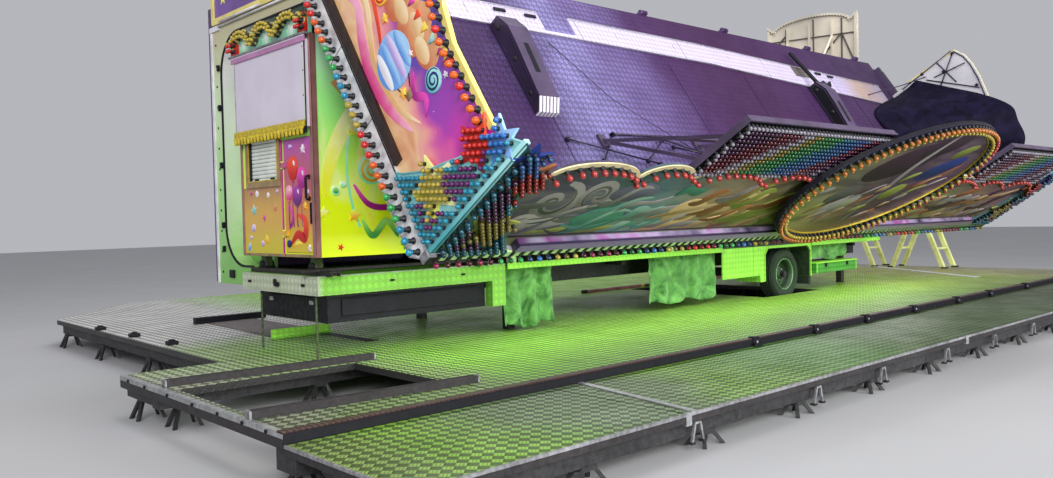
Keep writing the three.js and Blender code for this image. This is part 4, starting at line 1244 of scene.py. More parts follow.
def make_lights():
    """Soft studio light: an even sky and the lamps of LIGHTS."""
    world = bpy.data.worlds.new("studio")
    world.use_nodes = True
    background = world.node_tree.nodes["Background"]
    background.inputs[0].default_value = (0.93, 0.94, 1.0, 1.0)
    background.inputs[1].default_value = WORLD_LIGHT
    bpy.context.scene.world = world
    bpy.context.scene.view_settings.view_transform = "Standard"
    for light in LIGHTS:
        area_light(*light)


def make_floor():
    """Plain pale floor just under the trestles' feet."""
    mesh = bpy.data.meshes.new("floor")
    corners = rect(-FLOOR_REACH, -FLOOR_REACH, FLOOR_REACH, FLOOR_REACH)
    mesh.from_pydata([(x, y, -FLOOR_DROP) for x, y in corners], [], [(0, 1, 2, 3)])
    mesh.materials.append(painted("studio_floor", (0.45, 0.45, 0.46), 0.85, coat=0.0, wear=0.03, scale=0.3,
                                  gloss=0.3))
    floor = bpy.data.objects.new("floor", mesh)
    bpy.context.scene.collection.objects.link(floor)


# Decking


def deck_details():
    """All that lies or stands on the decking."""
    deck_trim()
    seam_clamps()
    deck_edges()
    hatch_rails()
    edge_frames()
    deck_pole()
    stand_details()


def deck_pole():
    """Pink pole that lies on the far deck, with its end cap and two yellow rings."""
    pole = Piece("pole", replaces=("deck_pole",), slot="pink")
    pole.box("pink_pole", (6.5, 2.74, DECK_TOP + 0.001), (10.4, 2.8, DECK_TOP + 0.05), 0.008)
    pole.box("rail", (6.42, 2.735, DECK_TOP), (6.52, 2.805, DECK_TOP + 0.056), 0.006)
    for x in (7.9, 9.6):
        pole.box("yellow", (x, 2.732, DECK_TOP), (x + 0.1, 2.808, DECK_TOP + 0.055), 0.006)
    pole.done()


def deck_trim():
    """Strips, plates and low bars that lie on the decking."""
    up = facing_up(DECK_TOP)
    trim = Piece("deck_trim", slot="tread")
    strip = [(12.68, -1.1), (12.8, -1.17), (14.98, 1.95), (14.86, 2.02)]
    trim.slab("white", strip, 0.0008, 0.006, up)
    plate = [(0.5, 2.0), (1.15, 2.0), (1.2, 3.95), (0.56, 3.95)]
    trim.slab("dark_plate", plate, 0.0008, 0.012, up)
    trim.box("black", (0.42, 4.0, DECK_TOP), (1.4, 4.09, DECK_TOP + 0.085))
    trim.box("green_tread", (0.45, 1.84, DECK_TOP), (1.2, 1.92, DECK_TOP + 0.01))
    trim.box("green_tread", (0.45, 1.905, DECK_TOP), (1.2, 1.925, DECK_TOP + 0.1))
    trim.slab("black", rect(1.0, 0.8, 1.14, 2.08), 0.0006, 0.003, up)
    for v in (0.8, 2.08):
        trim.box("rail", (0.99, v - 0.012, DECK_TOP), (1.15, v + 0.012, DECK_TOP + 0.008))
    outer = facing_up(OUTER_TOP)
    joint = [(1.045, SEAM_Y - 0.012), (1.105, SEAM_Y - 0.012), (0.875, Y_NEAR + 0.002),
             (0.815, Y_NEAR + 0.002)]
    trim.slab("galvanized", joint, 0.0005, 0.01, outer)
    trim.done()


def seam_clamps():
    """Clamps along the seam between the upper deck and the outer row, and at the left edge."""
    clamps = Piece("seam_clamps", slot="black")
    for x in CLAMPS_X:
        y = SEAM_Y
        clamps.box("black", (x - 0.07, y - 0.055, OUTER_TOP), (x + 0.07, y + 0.01, OUTER_TOP + 0.04), 0.01)
        clamps.box("black", (x - 0.048, y - 0.025, OUTER_TOP + 0.025),
                   (x + 0.048, y + 0.06, DECK_TOP + 0.026), 0.008)
        clamps.add(tube([(x - 0.02, y - 0.038, OUTER_TOP + 0.038),
                         (x - 0.02, y - 0.038, OUTER_TOP + 0.058)], 0.009, 6), "chrome")
    z = DECK_TOP
    for x, y in ((-0.6, 4.45), (-0.55, 3.35), (-0.5, 2.3)):
        clamps.box("black", (x - 0.06, y, z), (x + 0.06, y + 0.1, z + 0.045), 0.012)
        clamps.box("black", (x - 0.03, y + 0.02, z + 0.04), (x + 0.03, y + 0.08, z + 0.06), 0.008)
    clamps.done()


def deck_edges():
    """Edge rails round the outer row and the left panels, and the brown strip along the seam."""
    edges = Piece("deck_edges", slot="steel")
    low = OUTER_TOP - 0.065
    left, near = X_LEFT - PROUD, Y_NEAR - PROUD
    edges.box("edge_grey", (left, near, OUTER_TOP - 0.02),
              (X_RIGHT + PROUD, near + 0.016, OUTER_TOP + 0.004))
    edges.box("rail", (left + 0.001, near + 0.001, low), (X_RIGHT + PROUD, near + 0.014, OUTER_TOP - 0.021))
    edges.box("edge_grey", (left, near + 0.02, OUTER_TOP - 0.02),
              (left + 0.016, SEAM_Y - 0.006, OUTER_TOP + 0.004))
    edges.box("rail", (left + 0.001, near + 0.02, low), (left + 0.014, SEAM_Y - 0.006, OUTER_TOP - 0.021))
    edges.box("galvanized", (left, SEAM_Y + 0.006, DECK_TOP - 0.035),
              (left + 0.05, 0.725, DECK_TOP + 0.006))
    edges.box("rail", (left + 0.001, SEAM_Y + 0.006, DECK_TOP - 0.1),
              (left + 0.03, 0.725, DECK_TOP - 0.036))
    edges.box("seam_brown", (left, SEAM_Y + 0.002, DECK_TOP - 0.004),
              (X_RIGHT, SEAM_Y + 0.085, DECK_TOP + 0.012))
    edges.box("black", (left, SEAM_Y - 0.004, OUTER_TOP + 0.001),
              (X_RIGHT, SEAM_Y + 0.003, DECK_TOP - 0.002))
    for x in (0.775, 5.6, 10.4):
        edges.box("galvanized", (x - 0.03, near - 0.002, low - 0.02),
                  (x + 0.03, Y_NEAR + 0.03, OUTER_TOP + 0.007))
    bolt = turned_profile([(0.014, 0), (0.014, 0.01), (0.006, 0.014), (0.0, 0.015)], 6)
    places = [(y, DECK_TOP - 0.018, 0.0) for y in (-2.1, -1.75, -1.35, -0.9, -0.4, 0.1, 0.5)]
    edges.copies(bolt, "black", places, facing_front(left), False)
    edges.done()


def hatch_rails():
    """Two open channels that lie aslant beside the hatch."""
    rails = Piece("hatch_rails", replaces=("hatch_rail_far", "hatch_rail_near"), slot="steel")
    for (x0, y0), (x1, y1) in HATCH_RAILS:
        start = at(x0, y0, DECK_TOP + 0.0005)
        ahead = at(x1, y1, DECK_TOP + 0.0005) - start
        length = ahead.length
        ahead.normalize()
        line = basis(start, Z.cross(ahead), Z, ahead)
        w, h, wall = 0.07, 0.058, 0.008
        channel = [(0, 0), (w, 0), (w, h), (w - wall, h), (w - wall, wall), (wall, wall), (wall, h), (0, h)]
        rails.slab("rail", channel, 0.0, length, line)
        bolt = turned_profile([(0.02, 0), (0.02, 0.012), (0.009, 0.016), (0.0, 0.03)], 6)
        flat = basis(start, ahead, Z.cross(ahead), Z)
        rails.copies(bolt, "galvanized", [(u, w / 2, wall) for u in (0.2, 0.9, 1.6)], flat, False)
        for u in (0.0, length - 0.02):
            rails.box("edge_grey", (u, -0.002, 0.0005), (u + 0.02, w + 0.002, h + 0.001), matrix=flat)
    rails.done()


def edge_frames():
    """Light-grey feet like small trapezoid frames, hung below the outer edge."""
    frames = Piece("edge_frames", slot="steel")
    face = facing_near(Y_NEAR + 0.02)
    for x in (0.9, 2.55, 3.71, 5.14, 6.44, 7.70, 9.3, 10.9, 12.6, 14.3):
        line = [(x - 0.065, 0.07), (x - 0.028, 0.205), (x + 0.028, 0.205), (x + 0.065, 0.07)]
        frames.slab("edge_grey", band(line, 0.017), -0.012, 0.006, face)
        frames.slab("rail", rect(x - 0.085, 0.062, x - 0.045, 0.078), -0.03, 0.016, face)
        frames.slab("rail", rect(x + 0.045, 0.062, x + 0.085, 0.078), -0.03, 0.016, face)
    frames.done()


def stand_details():
    """Feet, hinge plates and bolts of the ladder-like stands at the rear."""
    piece = Piece("stand_fittings", slot="cream")
    z = DECK_TOP
    for y in REAR_STANDS_Y:
        for x in REAR_STANDS_X:
            for side in (-1, 1):
                foot = y + side * 0.57
                piece.box("rubber", (x - 0.06, foot - 0.06, z + 0.0005),
                          (x + 0.06, foot + 0.06, z + 0.03), 0.008)
            piece.box("cream_paint", (x - 0.052, y - 0.09, 1.66), (x + 0.052, y + 0.09, 1.765), 0.012)
            bolt = turned_profile([(0.022, 0), (0.022, 0.008), (0.012, 0.016), (0.0, 0.018)], 8)
            piece.copies(bolt, "galvanized", [(y - 0.05, 1.71, 0.052), (y + 0.05, 1.71, 0.052)],
                         facing_front(x), False)
    piece.done()


# Trailer


def portal_details():
    """Rim, holes and catches of the front portal."""
    face = facing_front(PORTAL_X)
    trim = Piece("portal_trim", slot="mint")
    inner, head, sill, radius = 2.3, 3.78, 1.2, 0.45
    line = [(0.02, head)] + arc_line(inner - radius, head - radius, radius, 90, 0)
    line += arc_line(inner - radius, sill + radius, radius, 0, -90) + [(1.62, sill)]
    trim.slab("black", band(line, 0.022), -0.004, 0.012, face)
    lip = [(u - 0.02 if v > 1.3 else u, v) for u, v in line]
    trim.slab("portal_edge", band(lip, 0.012), -0.19, -0.002, face)
    trim.slab("white", rect(2.51, 0.995, 2.55, 3.915), 0.0, 0.014, face)
    trim.slab("white", rect(2.3, 3.86, 2.55, 3.915), 0.0, 0.02, face)
    hole = turned_profile([(0.014, 0.0), (0.014, 0.004), (0.01, 0.006), (0.0, 0.006)], 10)
    trim.copies(hole, "black", [(2.425, 1.12 + 0.235 * k, 0.0) for k in range(12)], face, False)
    for v in (1.35, 1.62, 2.3, 2.95, 3.4):
        trim.box("black", (PORTAL_X - 0.03, 2.33, v), (PORTAL_X, 2.37, v + 0.07), 0.006)
    for u, v in ((1.62, 1.05), (2.1, 1.06)):
        trim.box("black", (PORTAL_X - 0.025, u, v), (PORTAL_X, u + 0.12, v + 0.09), 0.008)
    trim.done()


def gable_line(y0, y1, foot_z, corner, top, dip=0.13):
    """Outline of a gable board without its foot: upright sides and an arched top."""
    middle, half, foot = (y0 + y1) / 2, (y1 - y0) / 2 - dip, corner - 0.09
    arch = arc_line(middle, foot, half, 0, 180, 16, top - foot)
    return [(y1, foot_z), (y1, corner), *arch, (y0, corner), (y0, foot_z)]


def front_gable():
    """Yellow border, swirls and stars of the front board, with two tubes at its foot."""
    front = Piece("front_gable_border", slot="purple")
    face = facing_front(PORTAL_X)
    line = gable_line(0.09, 2.46, 3.95, 4.94, 5.31)
    front.slab("yellow", band(line, 0.055), 0.0, 0.02, face)
    front.slab("yellow", rect(0.08, 3.93, 2.47, 4.0), 0.001, 0.022, face)
    swirls = [(spiral(0.75, 4.45, 0.27, 1.4, 0.09, 30), "lilac"),
              (spiral(1.8, 4.45, 0.27, -1.4, 0.09, 150), "lilac")]
    pictures(front, face, swirls + marks(
        (1.27, 4.62, 0.3, "sun", 90), (1.27, 4.62, 0.17, "scarlet", 90), (0.35, 4.75, 0.06, "sky_blue"),
        (2.2, 4.75, 0.06, "sky_blue"), (0.35, 4.2, 0.08, "lemon", 90), (2.2, 4.2, 0.08, "lemon", 90)))
    tubes = [[(-0.02, 0.3, 3.9), (-0.02, 2.3, 3.9)], [(-0.05, 1.2, 3.93), (-0.05, 2.2, 3.93)]]
    for ends in tubes:
        ends = [(x + PORTAL_X, y, z) for x, y, z in ends]
        front.add(tube(ends, 0.013), "white", smooth=True)
    front.done()


GABLE_BARS = (((0.39, 4.9), (2.16, 4.97)), ((1.8, 4.2), (1.8, 5.18)), ((1.22, 4.2), (1.22, 5.27)),
              ((0.65, 4.2), (0.65, 5.2)), ((0.65, 4.93), (1.35, 4.25)), ((0.65, 4.93), (0.4, 4.35)),
              ((1.8, 5.05), (2.14, 4.75)))


def rear_gable():
    """Rim, thin bars and a row of studs on the rear board."""
    rear = Piece("rear_gable_frame", slot="white")
    back = facing_front(REAR_GABLE_X)
    line = gable_line(0.37, 2.18, 4.16, 5.235, 5.335)
    rear.slab("gable_white", band(line, 0.045), 0.0, 0.03, back)
    for k, ends in enumerate(GABLE_BARS):
        rear.slab("tube_tan", band(ends, 0.02), 0.001, 0.02 + 0.002 * k, back)
    beads = along([(u, v - 0.02) for u, v in line[1:-1]], 0.06)
    dome = turned_profile([(0.01, 0.0), (0.01, 0.008), (0.006, 0.013), (0.0, 0.014)], 6)
    rear.copies(dome, "rail", [(u, v, 0.03) for u, v in beads], back)
    rear.done()


def step_fittings():
    """Hooks, catches, rivets and the edge trim of the gooseneck step."""
    piece = Piece("step_fittings", slot="tread")
    top = FLOOR_TOP
    piece.box("galvanized", (-0.004, 0.0, top - 0.005), (2.32, 0.03, top + 0.006))
    for u in (0.25, 1.4):
        piece.box("black", (-0.018, u, 1.05), (0.0, u + 0.05, 1.075))
    piece.box("black", (-0.03, 0.76, 1.03), (0.0, 0.85, 1.075), 0.01)
    piece.box("black", (-0.045, 0.78, 1.045), (-0.02, 0.83, 1.11), 0.01)
    rivet = turned_profile([(0.008, 0.0), (0.006, 0.004), (0.0, 0.005)], 6)
    rows = (0.985, 1.135)
    piece.copies(rivet, "galvanized", [(0.06 + 0.18 * k, v, 0.0) for k in range(9) for v in rows],
                 facing_front(0.0), False)
    for x in (0.8, 1.7):
        piece.box("black", (x, -0.012, 1.06), (x + 0.05, 0.0, 1.08))
    piece.copies(rivet, "galvanized", [(0.08 + 0.2 * k, v, 0.0) for k in range(12) for v in rows],
                 facing_near(0.0), False)
    piece.done()


def booth_slide():
    """Two rails across the step and the rollers that the booth stands on."""
    top = FLOOR_TOP
    slide = Piece("booth_slide", slot="steel")
    roller = turned_profile(rect(0.012, -0.01, 0.038, 0.022), 14)
    for x in (0.1, 1.9):
        slide.box("rail", (x - 0.035, -0.12, top + 0.03), (x + 0.095, -0.06, top + 0.05))
        slide.box("rail", (x - 0.02, -0.115, top + 0.001), (x, 1.58, top + 0.05))
        slide.box("rail", (x + 0.06, -0.115, top + 0.001), (x + 0.08, 1.58, top + 0.05))
        for y in (0.2, 1.25):
            slide.box("black", (x - 0.03, y - 0.03, top + 0.05), (x + 0.09, y + 0.12, top + 0.075), 0.006)
            for shift in (-0.028, 0.07):
                slide.copies(roller, "black", [(y + 0.045, top + 0.09, 0.0)],
                             basis(at(x + shift, 0, 0), Y, Z, X))
    slide.box("rail", (-0.1, 0.1, top + 0.036), (1.85, 0.17, top + 0.07), 0.006)
    slide.done()


def recess_box():
    """Lid, panels and catches of the black box under the step."""
    tank = Piece("recess_box_details", slot="black")
    tank.box("rail", (0.145, 0.095, 0.935), (2.105, 1.505, 0.966), 0.006)
    tank.box("black", (0.142, 0.3, 0.72), (0.15, 1.3, 0.93))
    for y in (0.35, 1.2):
        tank.box("galvanized", (0.125, y, 0.86), (0.145, y + 0.06, 0.9))
    tank.box("black", (0.3, 0.085, 0.75), (1.95, 0.1, 0.92), 0.004)
    tank.done()


def on_circle(radius, number, turn=0.0, height=0.0):
    """Places spaced evenly round a circle; turn is a share of their spacing."""
    angles = (np.arange(number) + turn) * 2 * math.pi / number
    return [(radius * math.cos(a), radius * math.sin(a), height) for a in angles]


def tyre(wheel, hub):
    """Grooved tread, side walls and two ribs round each side."""
    half, r = TYRE_WIDTH / 2, TYRE_RADIUS
    tread = [(r - 0.15, -half + 0.03), (r - 0.12, -half + 0.004), (r - 0.05, -half),
             (r - 0.012, -half + 0.02)]
    edges = np.linspace(-half + 0.03, half - 0.03, 6)
    for a, b in zip(edges, edges[1:]):
        tread += [(r, a + 0.004), (r, b - 0.008), (r - 0.012, b - 0.006), (r - 0.012, b)]
    tread += [(r - 0.012, half - 0.02), (r - 0.05, half), (r - 0.12, half - 0.004),
              (r - 0.15, half - 0.03), (r - 0.16, half - 0.05), (r - 0.16, -half + 0.05)]
    wheel.add(ring_profile(tread, 48), "rubber", hub, True)
    for radius, height in ((r - 0.045, half + 0.0005), (r - 0.105, half - 0.003)):
        rib = rect(radius - 0.004, height - 0.004, radius + 0.004, height + 0.003)
        wheel.add(ring_profile(rib, 48), "rubber", hub, True)


def wheel_details(name, y_outer, side):
    """Tyre with grooves, a deep dark rim with hand holes, and nuts."""
    half = TYRE_WIDTH / 2
    wheel = Piece(name + "_dressed", name, replaces=(name,), slot="rubber")
    hub = basis(at(WHEEL_X, y_outer + side * half, WHEEL_Z), X, Z, -side * Y)
    tyre(wheel, hub)
    rim = [(0.046, -0.03), (0.1, -0.03), (0.125, -0.05), (0.2, -0.06), (0.225, 0.03),
           (0.236, half - 0.03), (0.228, half - 0.028), (0.212, 0.03), (0.19, -0.045), (0.13, -0.03),
           (0.11, 0.0), (0.075, 0.005), (0.07, 0.06), (0.046, 0.06)]
    wheel.add(ring_profile(rim, 36), "rim_dark", hub, True)
    lip = [(0.236, half - 0.034), (0.247, half - 0.03), (0.247, half - 0.012), (0.238, half - 0.01),
           (0.23, half - 0.024)]
    wheel.add(ring_profile(lip, 48), "rim_light", hub, True)
    nut = turned_profile([(0.013, 0.0), (0.013, 0.016), (0.006, 0.026), (0.0, 0.027)], 6)
    wheel.copies(nut, "chrome", on_circle(0.095, 8, 0.0, 0.002), hub, False)
    hole = turned_profile([(0.024, -0.004), (0.024, 0.012), (0.018, 0.014), (0.0, 0.014)], 12)
    wheel.copies(hole, "black", on_circle(0.162, 8, 0.5, -0.056), hub, False)
    wheel.done()


def skirt_details():
    """Rims of the wheel arch, the skirt's top edge, a mud flap and the toolbox's fittings."""
    piece = Piece("skirt_trim", slot="tread")
    arch = [(7.54, 0.595), (7.54, 1.01), (7.63, 1.1), (8.79, 1.1), (8.88, 1.01), (8.88, 0.595)]
    near = facing_near(0.0)
    piece.slab("green_tread", band(arch, 0.018), -0.01, 0.012, near)
    inner = [(7.555, 0.595), (7.555, 1.004), (7.636, 1.085), (8.784, 1.085), (8.865, 1.004), (8.865, 0.595)]
    piece.slab("arch_dark", band(inner, 0.012), -0.34, -0.012, near)
    for x0, x1 in ((2.35, 6.44), (8.93, 11.3)):
        piece.box("green_tread", (x0, -0.012, 1.085), (x1, 0.0, FLOOR_TOP + 0.004))
    for x in (6.5, 7.38):
        for z in (0.72, 1.09):
            piece.add(tube([(x, -0.002, z), (x, -0.01, z)], 0.01, 8), "galvanized")
    piece.slab("green_tread", rect(7.24, 0.7, 7.262, 1.128), 0.0, 0.006, near)
    piece.slab("rubber", rect(8.86, 0.46, 8.92, 0.588), -0.4, -0.02, near)
    x0, x1 = 8.95, 10.32
    piece.box("green_tread", (x0 - 0.005, -0.075, 0.782), (x1 + 0.005, 0.44, 0.806), 0.006)
    for x in (x0 + 0.28, x1 - 0.38):
        piece.box("black", (x, -0.078, 0.72), (x + 0.06, -0.058, 0.785), 0.006)
    for x in (x0 + 0.02, x1 - 0.045):
        piece.box("green_tread", (x, -0.068, 0.632), (x + 0.025, -0.058, 0.78))
    piece.done()


def hanging_cloth(name, x0, x1, bottom, folds, depth, seed):
    """A tarpaulin hung from the trailer's floor edge: gathered folds that spread, with creases."""
    random = np.random.default_rng(seed)
    phases = random.uniform(0, 2 * math.pi, 8)
    nu, nv = 20 * folds, 34
    width, height = x1 - x0, CLOTH_TOP - bottom
    u = np.linspace(0, 1, nu + 1)[:, None] * np.ones(nv + 1)
    v = np.linspace(0, 1, nv + 1)[None, :] * np.ones((nu + 1, 1))
    wave = np.sin(2 * math.pi * folds * u + phases[0] + 0.8 * np.sin(3 * v + phases[1]))
    ridge = 1 - 2 * np.abs(np.sin(1.5 * math.pi * folds * u + 1.2 * v + phases[2]))
    crease = np.sin(9 * v + 5 * math.pi * folds * u + phases[3]) * np.sin(4 * v + phases[4])
    crumple = np.sin(17 * u * folds + 11 * v + phases[5]) * np.sin(13 * v - 7 * u * folds + phases[6])
    open_out = 0.3 + 0.7 * v
    push = depth * open_out * (0.5 * wave + 0.2 * ridge) + 0.011 * crease + 0.006 * crumple
    sag = 0.06 * np.sin(math.pi * folds * u * 0.5 + phases[7]) ** 2 * v
    middle = np.stack([x0 + width * u + 0.025 * ridge * v, CLOTH_Y + push,
                       CLOTH_TOP - (height - sag) * v], axis=2)
    shift = np.array((0.0, CLOTH_HALF, 0.0))
    piece = Piece(name + "_cloth", replaces=(name,), slot="tarp")
    piece.add(shell([middle - shift, middle + shift]), "tarp", smooth=True)
    piece.done()


def trailer_details():
    """All that is fixed to the trailer or hangs from it."""
    portal_details()
    front_gable()
    rear_gable()
    step_fittings()
    booth_slide()
    recess_box()
    wheel_details("wheel_near", WHEEL_INSET, 1)
    wheel_details("wheel_far", WIDTH - WHEEL_INSET, -1)
    skirt_details()
    hanging_cloth("tarp_front", 2.38, 3.15, 0.385, 3, 0.09, 3)
    hanging_cloth("tarp_middle", 4.9, 6.38, 0.425, 4, 0.09, 4)
    hanging_cloth("tarp_rear", 9.0, 10.24, 0.812, 3, 0.06, 5)


# Booth


def booth_edges():
    """Corner strips, frames, screws and door hinges of the booth's front."""
    face = facing_front(0.0)
    edges = Piece("booth_edges", slot="lime")
    for paint, low, high in (
            ("pillar", (-0.012, -0.004, BOOTH_BOTTOM), (0.05, 0.008, BOOTH_TOP)),
            ("pillar", (-0.014, -0.004, BOOTH_BOTTOM), (-0.001, 0.045, BOOTH_TOP)),
            ("pillar", (-0.012, 1.505, BOOTH_BOTTOM), (0.0, 1.545, BOOTH_TOP)),
            ("brown_frame", (-0.008, 0.045, BOOTH_BOTTOM), (0.0, 1.505, BOOTH_BOTTOM + 0.03)),
            ("magenta", (-0.006, 0.618, BOOTH_BOTTOM + 0.03), (-0.001, 0.655, 2.48)),
            ("black", (-0.004, 0.05, 1.36), (0.0, 0.056, 2.48)),
            ("portal_edge", (-0.05, 0.046, 2.56), (-0.046, 0.086, 3.355)),
            ("black", (-0.052, 0.022, 2.5), (-0.046, 0.044, 3.355)),
            ("galvanized", (-0.048, 1.535, 2.6), (-0.044, 1.551, 3.355))):
        edges.box(paint, low, high)
    screw = turned_profile([(0.007, 0.0), (0.007, 0.003), (0.0, 0.006)], 8)
    screws = [(0.066, z, 0.05) for z in (2.62, 2.85, 3.08, 3.3)]
    screws += [(u, 1.345, 0.008) for u in (0.11, 0.6, 0.95, 1.4)]
    edges.copies(screw, "black", screws, face, False)
    for z in (1.95, 2.05):
        edges.box("black", (-0.024, 0.056, z - 0.3), (-0.002, 0.068, z - 0.2), 0.004)
    edges.done()


def window_trim():
    """Brown and gold lines round the booth's window frame."""
    trim = Piece("window_trim", slot="gold")
    face = facing_front(0.0)
    trim.slab("brown_frame", band(rect(0.66, 2.04, 1.4, 2.555), 0.018, True), 0.012, 0.022, face)
    trim.slab("gold_trim", band(rect(0.715, 2.095, 1.345, 2.505), 0.012, True), 0.0, 0.019, face)
    trim.done()


def door_handle():
    """Bow handle of the booth's door, with a round plate at each end."""
    handle = Piece("door_handle", "booth_door", slot="gold")
    x, y = -0.037, 0.1025
    line = smooth_line3([(0.0, y, 1.8875), (x + 0.008, y, 1.882), (x, y, 1.9), (x, y, 1.98),
                         (x, y, 2.08), (x + 0.008, y, 2.098), (0.0, y, 2.0925)], 4)
    handle.add(tube(line, 0.0122, 8), "black", smooth=True)
    plate = turned_profile([(0.024, 0.0), (0.024, 0.004), (0.018, 0.007), (0.0, 0.007)], 14)
    handle.copies(plate, "black", [(y, 1.8875, 0.003), (y, 2.0925, 0.003)], facing_front(0.0), False)
    handle.done()


def booth_shutter():
    """Slats of the roller shutter behind the window frame, with its catches."""
    shutter = Piece("shutter_slats", replaces=("booth_shutter",), slot="white")
    slats, y0, y1 = 11, 0.705, 1.355
    pitch = 0.43 / slats
    for k in range(slats):
        low = 2.085 + k * pitch
        profile = [(0.022, low), (0.008, low + 0.003), (0.003, low + pitch * 0.35),
                   (0.003, low + pitch * 0.65), (0.008, low + pitch - 0.004), (0.022, low + pitch - 0.001)]
        shutter.slab("shutter", profile, y0, y1, basis(at(0, 0, 0), X, Z, Y))
    shutter.box("black", (-0.012, 1.3, 2.09), (0.002, 1.34, 2.51))
    for y in (0.8, 1.15):
        shutter.box("black", (-0.008, y, 2.105), (0.004, y + 0.085, 2.122), 0.004)
        shutter.box("black", (-0.012, y, 2.085), (0.002, y + 0.018, 2.12), 0.004)
    shutter.done()


def booth_fringe():
    """Gold fringe under the sign panel: a rail, hanging loops and small knobs."""
    piece = Piece("valance_fringe", replaces=("booth_valance",), slot="gold")
    y0, y1, teeth = 0.04, 1.54, 20
    pitch = (y1 - y0) / teeth
    piece.box("fringe", (-0.08, y0, 2.555), (-0.046, y1, 2.622), 0.01)
    piece.box("black", (-0.072, y0 + 0.004, 2.49), (-0.05, y1 - 0.004, 2.56), 0.004)
    loop = turned_profile([(0.0, -0.002), (0.01, 0.0), (0.02, 0.012), (0.019, 0.026), (0.023, 0.04),
                           (0.02, 0.055), (0.022, 0.068), (0.018, 0.078)], 8)
    face = basis(at(-0.072, 0, 0), Y, -X, Z)
    piece.copies(loop, "fringe", [(y0 + (k + 0.5) * pitch, 0.0, 2.484) for k in range(teeth)], face)
    knob = turned_profile([(0.0, -0.001), (0.011, 0.004), (0.012, 0.018), (0.006, 0.03)], 6)
    knobs = [min(max(y0 + k * pitch, y0 + 0.012), y1 - 0.012) for k in range(teeth + 1)]
    piece.copies(knob, "fringe", [(v, 0.004, 2.532) for v in knobs], face)
    piece.done()


def crest_line():
    """Scalloped top edge of the booth's crest, from the far side to the near corner."""
    z = BOOTH_TOP
    line = [(1.64, z + 0.17)] + arc_line(1.34, z + 0.06, 0.23, 25, 160, 9, 0.18)
    line += arc_line(0.83, z + 0.055, 0.23, 20, 160, 9, 0.19)
    line += arc_line(0.31, z + 0.06, 0.24, 20, 155, 9, 0.185)
    return line + [(0.0, z + 0.19)]


def crest_shapes(piece, face):
    """Fans under the scallops, a flame at each end and small scrolls along the rim."""
    top = BOOTH_TOP
    for u in (1.34, 0.83, 0.31):
        r, fan = 0.12, []
        for k, a in enumerate(np.linspace(0, math.pi, 11)):
            share = 1.0 if k % 2 else 0.7
            fan.append((u + r * math.cos(a) * share, top + 0.05 + r * math.sin(a) * share))
        fan = [(u + r, top + 0.012), *fan, (u - r, top + 0.012)]
        piece.slab("mint_glow", fan, 0.0005, 0.004, face)
        piece.slab("pearl", ellipse(u, top + 0.07, 0.035, 0.05, 14), 0.004, 0.006, face)
    for u, sign in ((0.05, 1), (1.59, -1)):
        flame = [(-0.05, 0.02), (0.12, 0.02), (0.11, 0.13), (0.07, 0.1), (0.04, 0.21), (0.0, 0.14),
                 (-0.03, 0.2), (-0.045, 0.1)]
        flame = [(min(max(u + a * sign, 0.0), 1.64), top + b) for a, b in flame]
        piece.slab("scarlet", flame, 0.001, 0.02, face)
    for k, (u, v) in enumerate(along(crest_line(), 0.15, 0.06)):
        scroll = spiral(u, v - 0.03, 0.05, 0.9, 0.02, 90 + 60 * (k % 3), 0.25)
        piece.slab("yellow", scroll, 0.014, 0.024, face)


def booth_crest():
    """Gold rim of the crest with its shapes and lamps."""
    line = crest_line()
    piece = Piece("crest_rim", slot="gold")
    face = facing_front(-0.02)
    piece.slab("gold_trim", band([(u, v - 0.02) for u, v in line], 0.035), 0.0, 0.014, face)
    crest_shapes(piece, face)
    bulbs = [(u, v - 0.018, "yellow_cap") for u, v in along(line, 0.058, 0.03)]
    bulbs += [(u, v - 0.062, "yellow_cap") for u, v in along(line, 0.066, 0.06) if 0.16 < u < 1.48]
    lamps(piece, face, bulbs, 0.012, size=0.74, height=0.04)
    ends = [(u, BOOTH_TOP + h, "red") for u in (0.05, 0.1, 1.54, 1.59) for h in (0.06, 0.115)]
    lamps(piece, face, ends, 0.02, size=0.74, height=0.04)
    piece.done()


def booth_roof_edge():
    """Grey edge and mauve board along the front of the booth's roof."""
    top = BOOTH_TOP
    roof_edge = Piece("booth_roof_edge", slot="white")
    roof_edge.box("edge_grey", (-0.07, 0.0, top - 0.012), (0.03, 1.65, top + 0.012), 0.006)
    roof_edge.box("mauve", (-0.062, 0.01, top - 0.075), (-0.047, 1.6, top - 0.013), 0.004)
    roof_edge.box("lilac_panel", (-0.066, 0.02, top - 0.028), (-0.06, 1.59, top - 0.016), 0.002)
    roof_edge.done()


def balloon(u, v, r, paint, string=0.3):
    """A balloon with its neck, string and highlight."""
    body = [(u + r * math.cos(a), v + r * 1.15 * math.sin(a) * (1.0 if math.sin(a) > 0 else 1.18))
            for a in np.linspace(0, 2 * math.pi, 20, endpoint=False)]
    neck = [(u - 0.18 * r, v - 1.5 * r), (u + 0.18 * r, v - 1.5 * r), (u, v - 1.28 * r)]
    line = [(u, v - 1.45 * r), (u + 0.15 * r, v - 1.45 * r - string * 0.5), (u, v - 1.45 * r - string)]
    return [(ribbon(line, 0.006, (0.9, 0.9)), "plum"), (body, paint), (neck, paint),
            (ellipse(u - 0.35 * r, v + 0.4 * r, 0.16 * r, 0.3 * r, 10, -0.4), "pearl")]


def lolly(u, v, r, first, second):
    """A round sweet with a spiral."""
    return [(ellipse(u, v, r, r, 24), first), (spiral(u, v, r * 0.93, 2.1, r * 0.22, 40), second)]


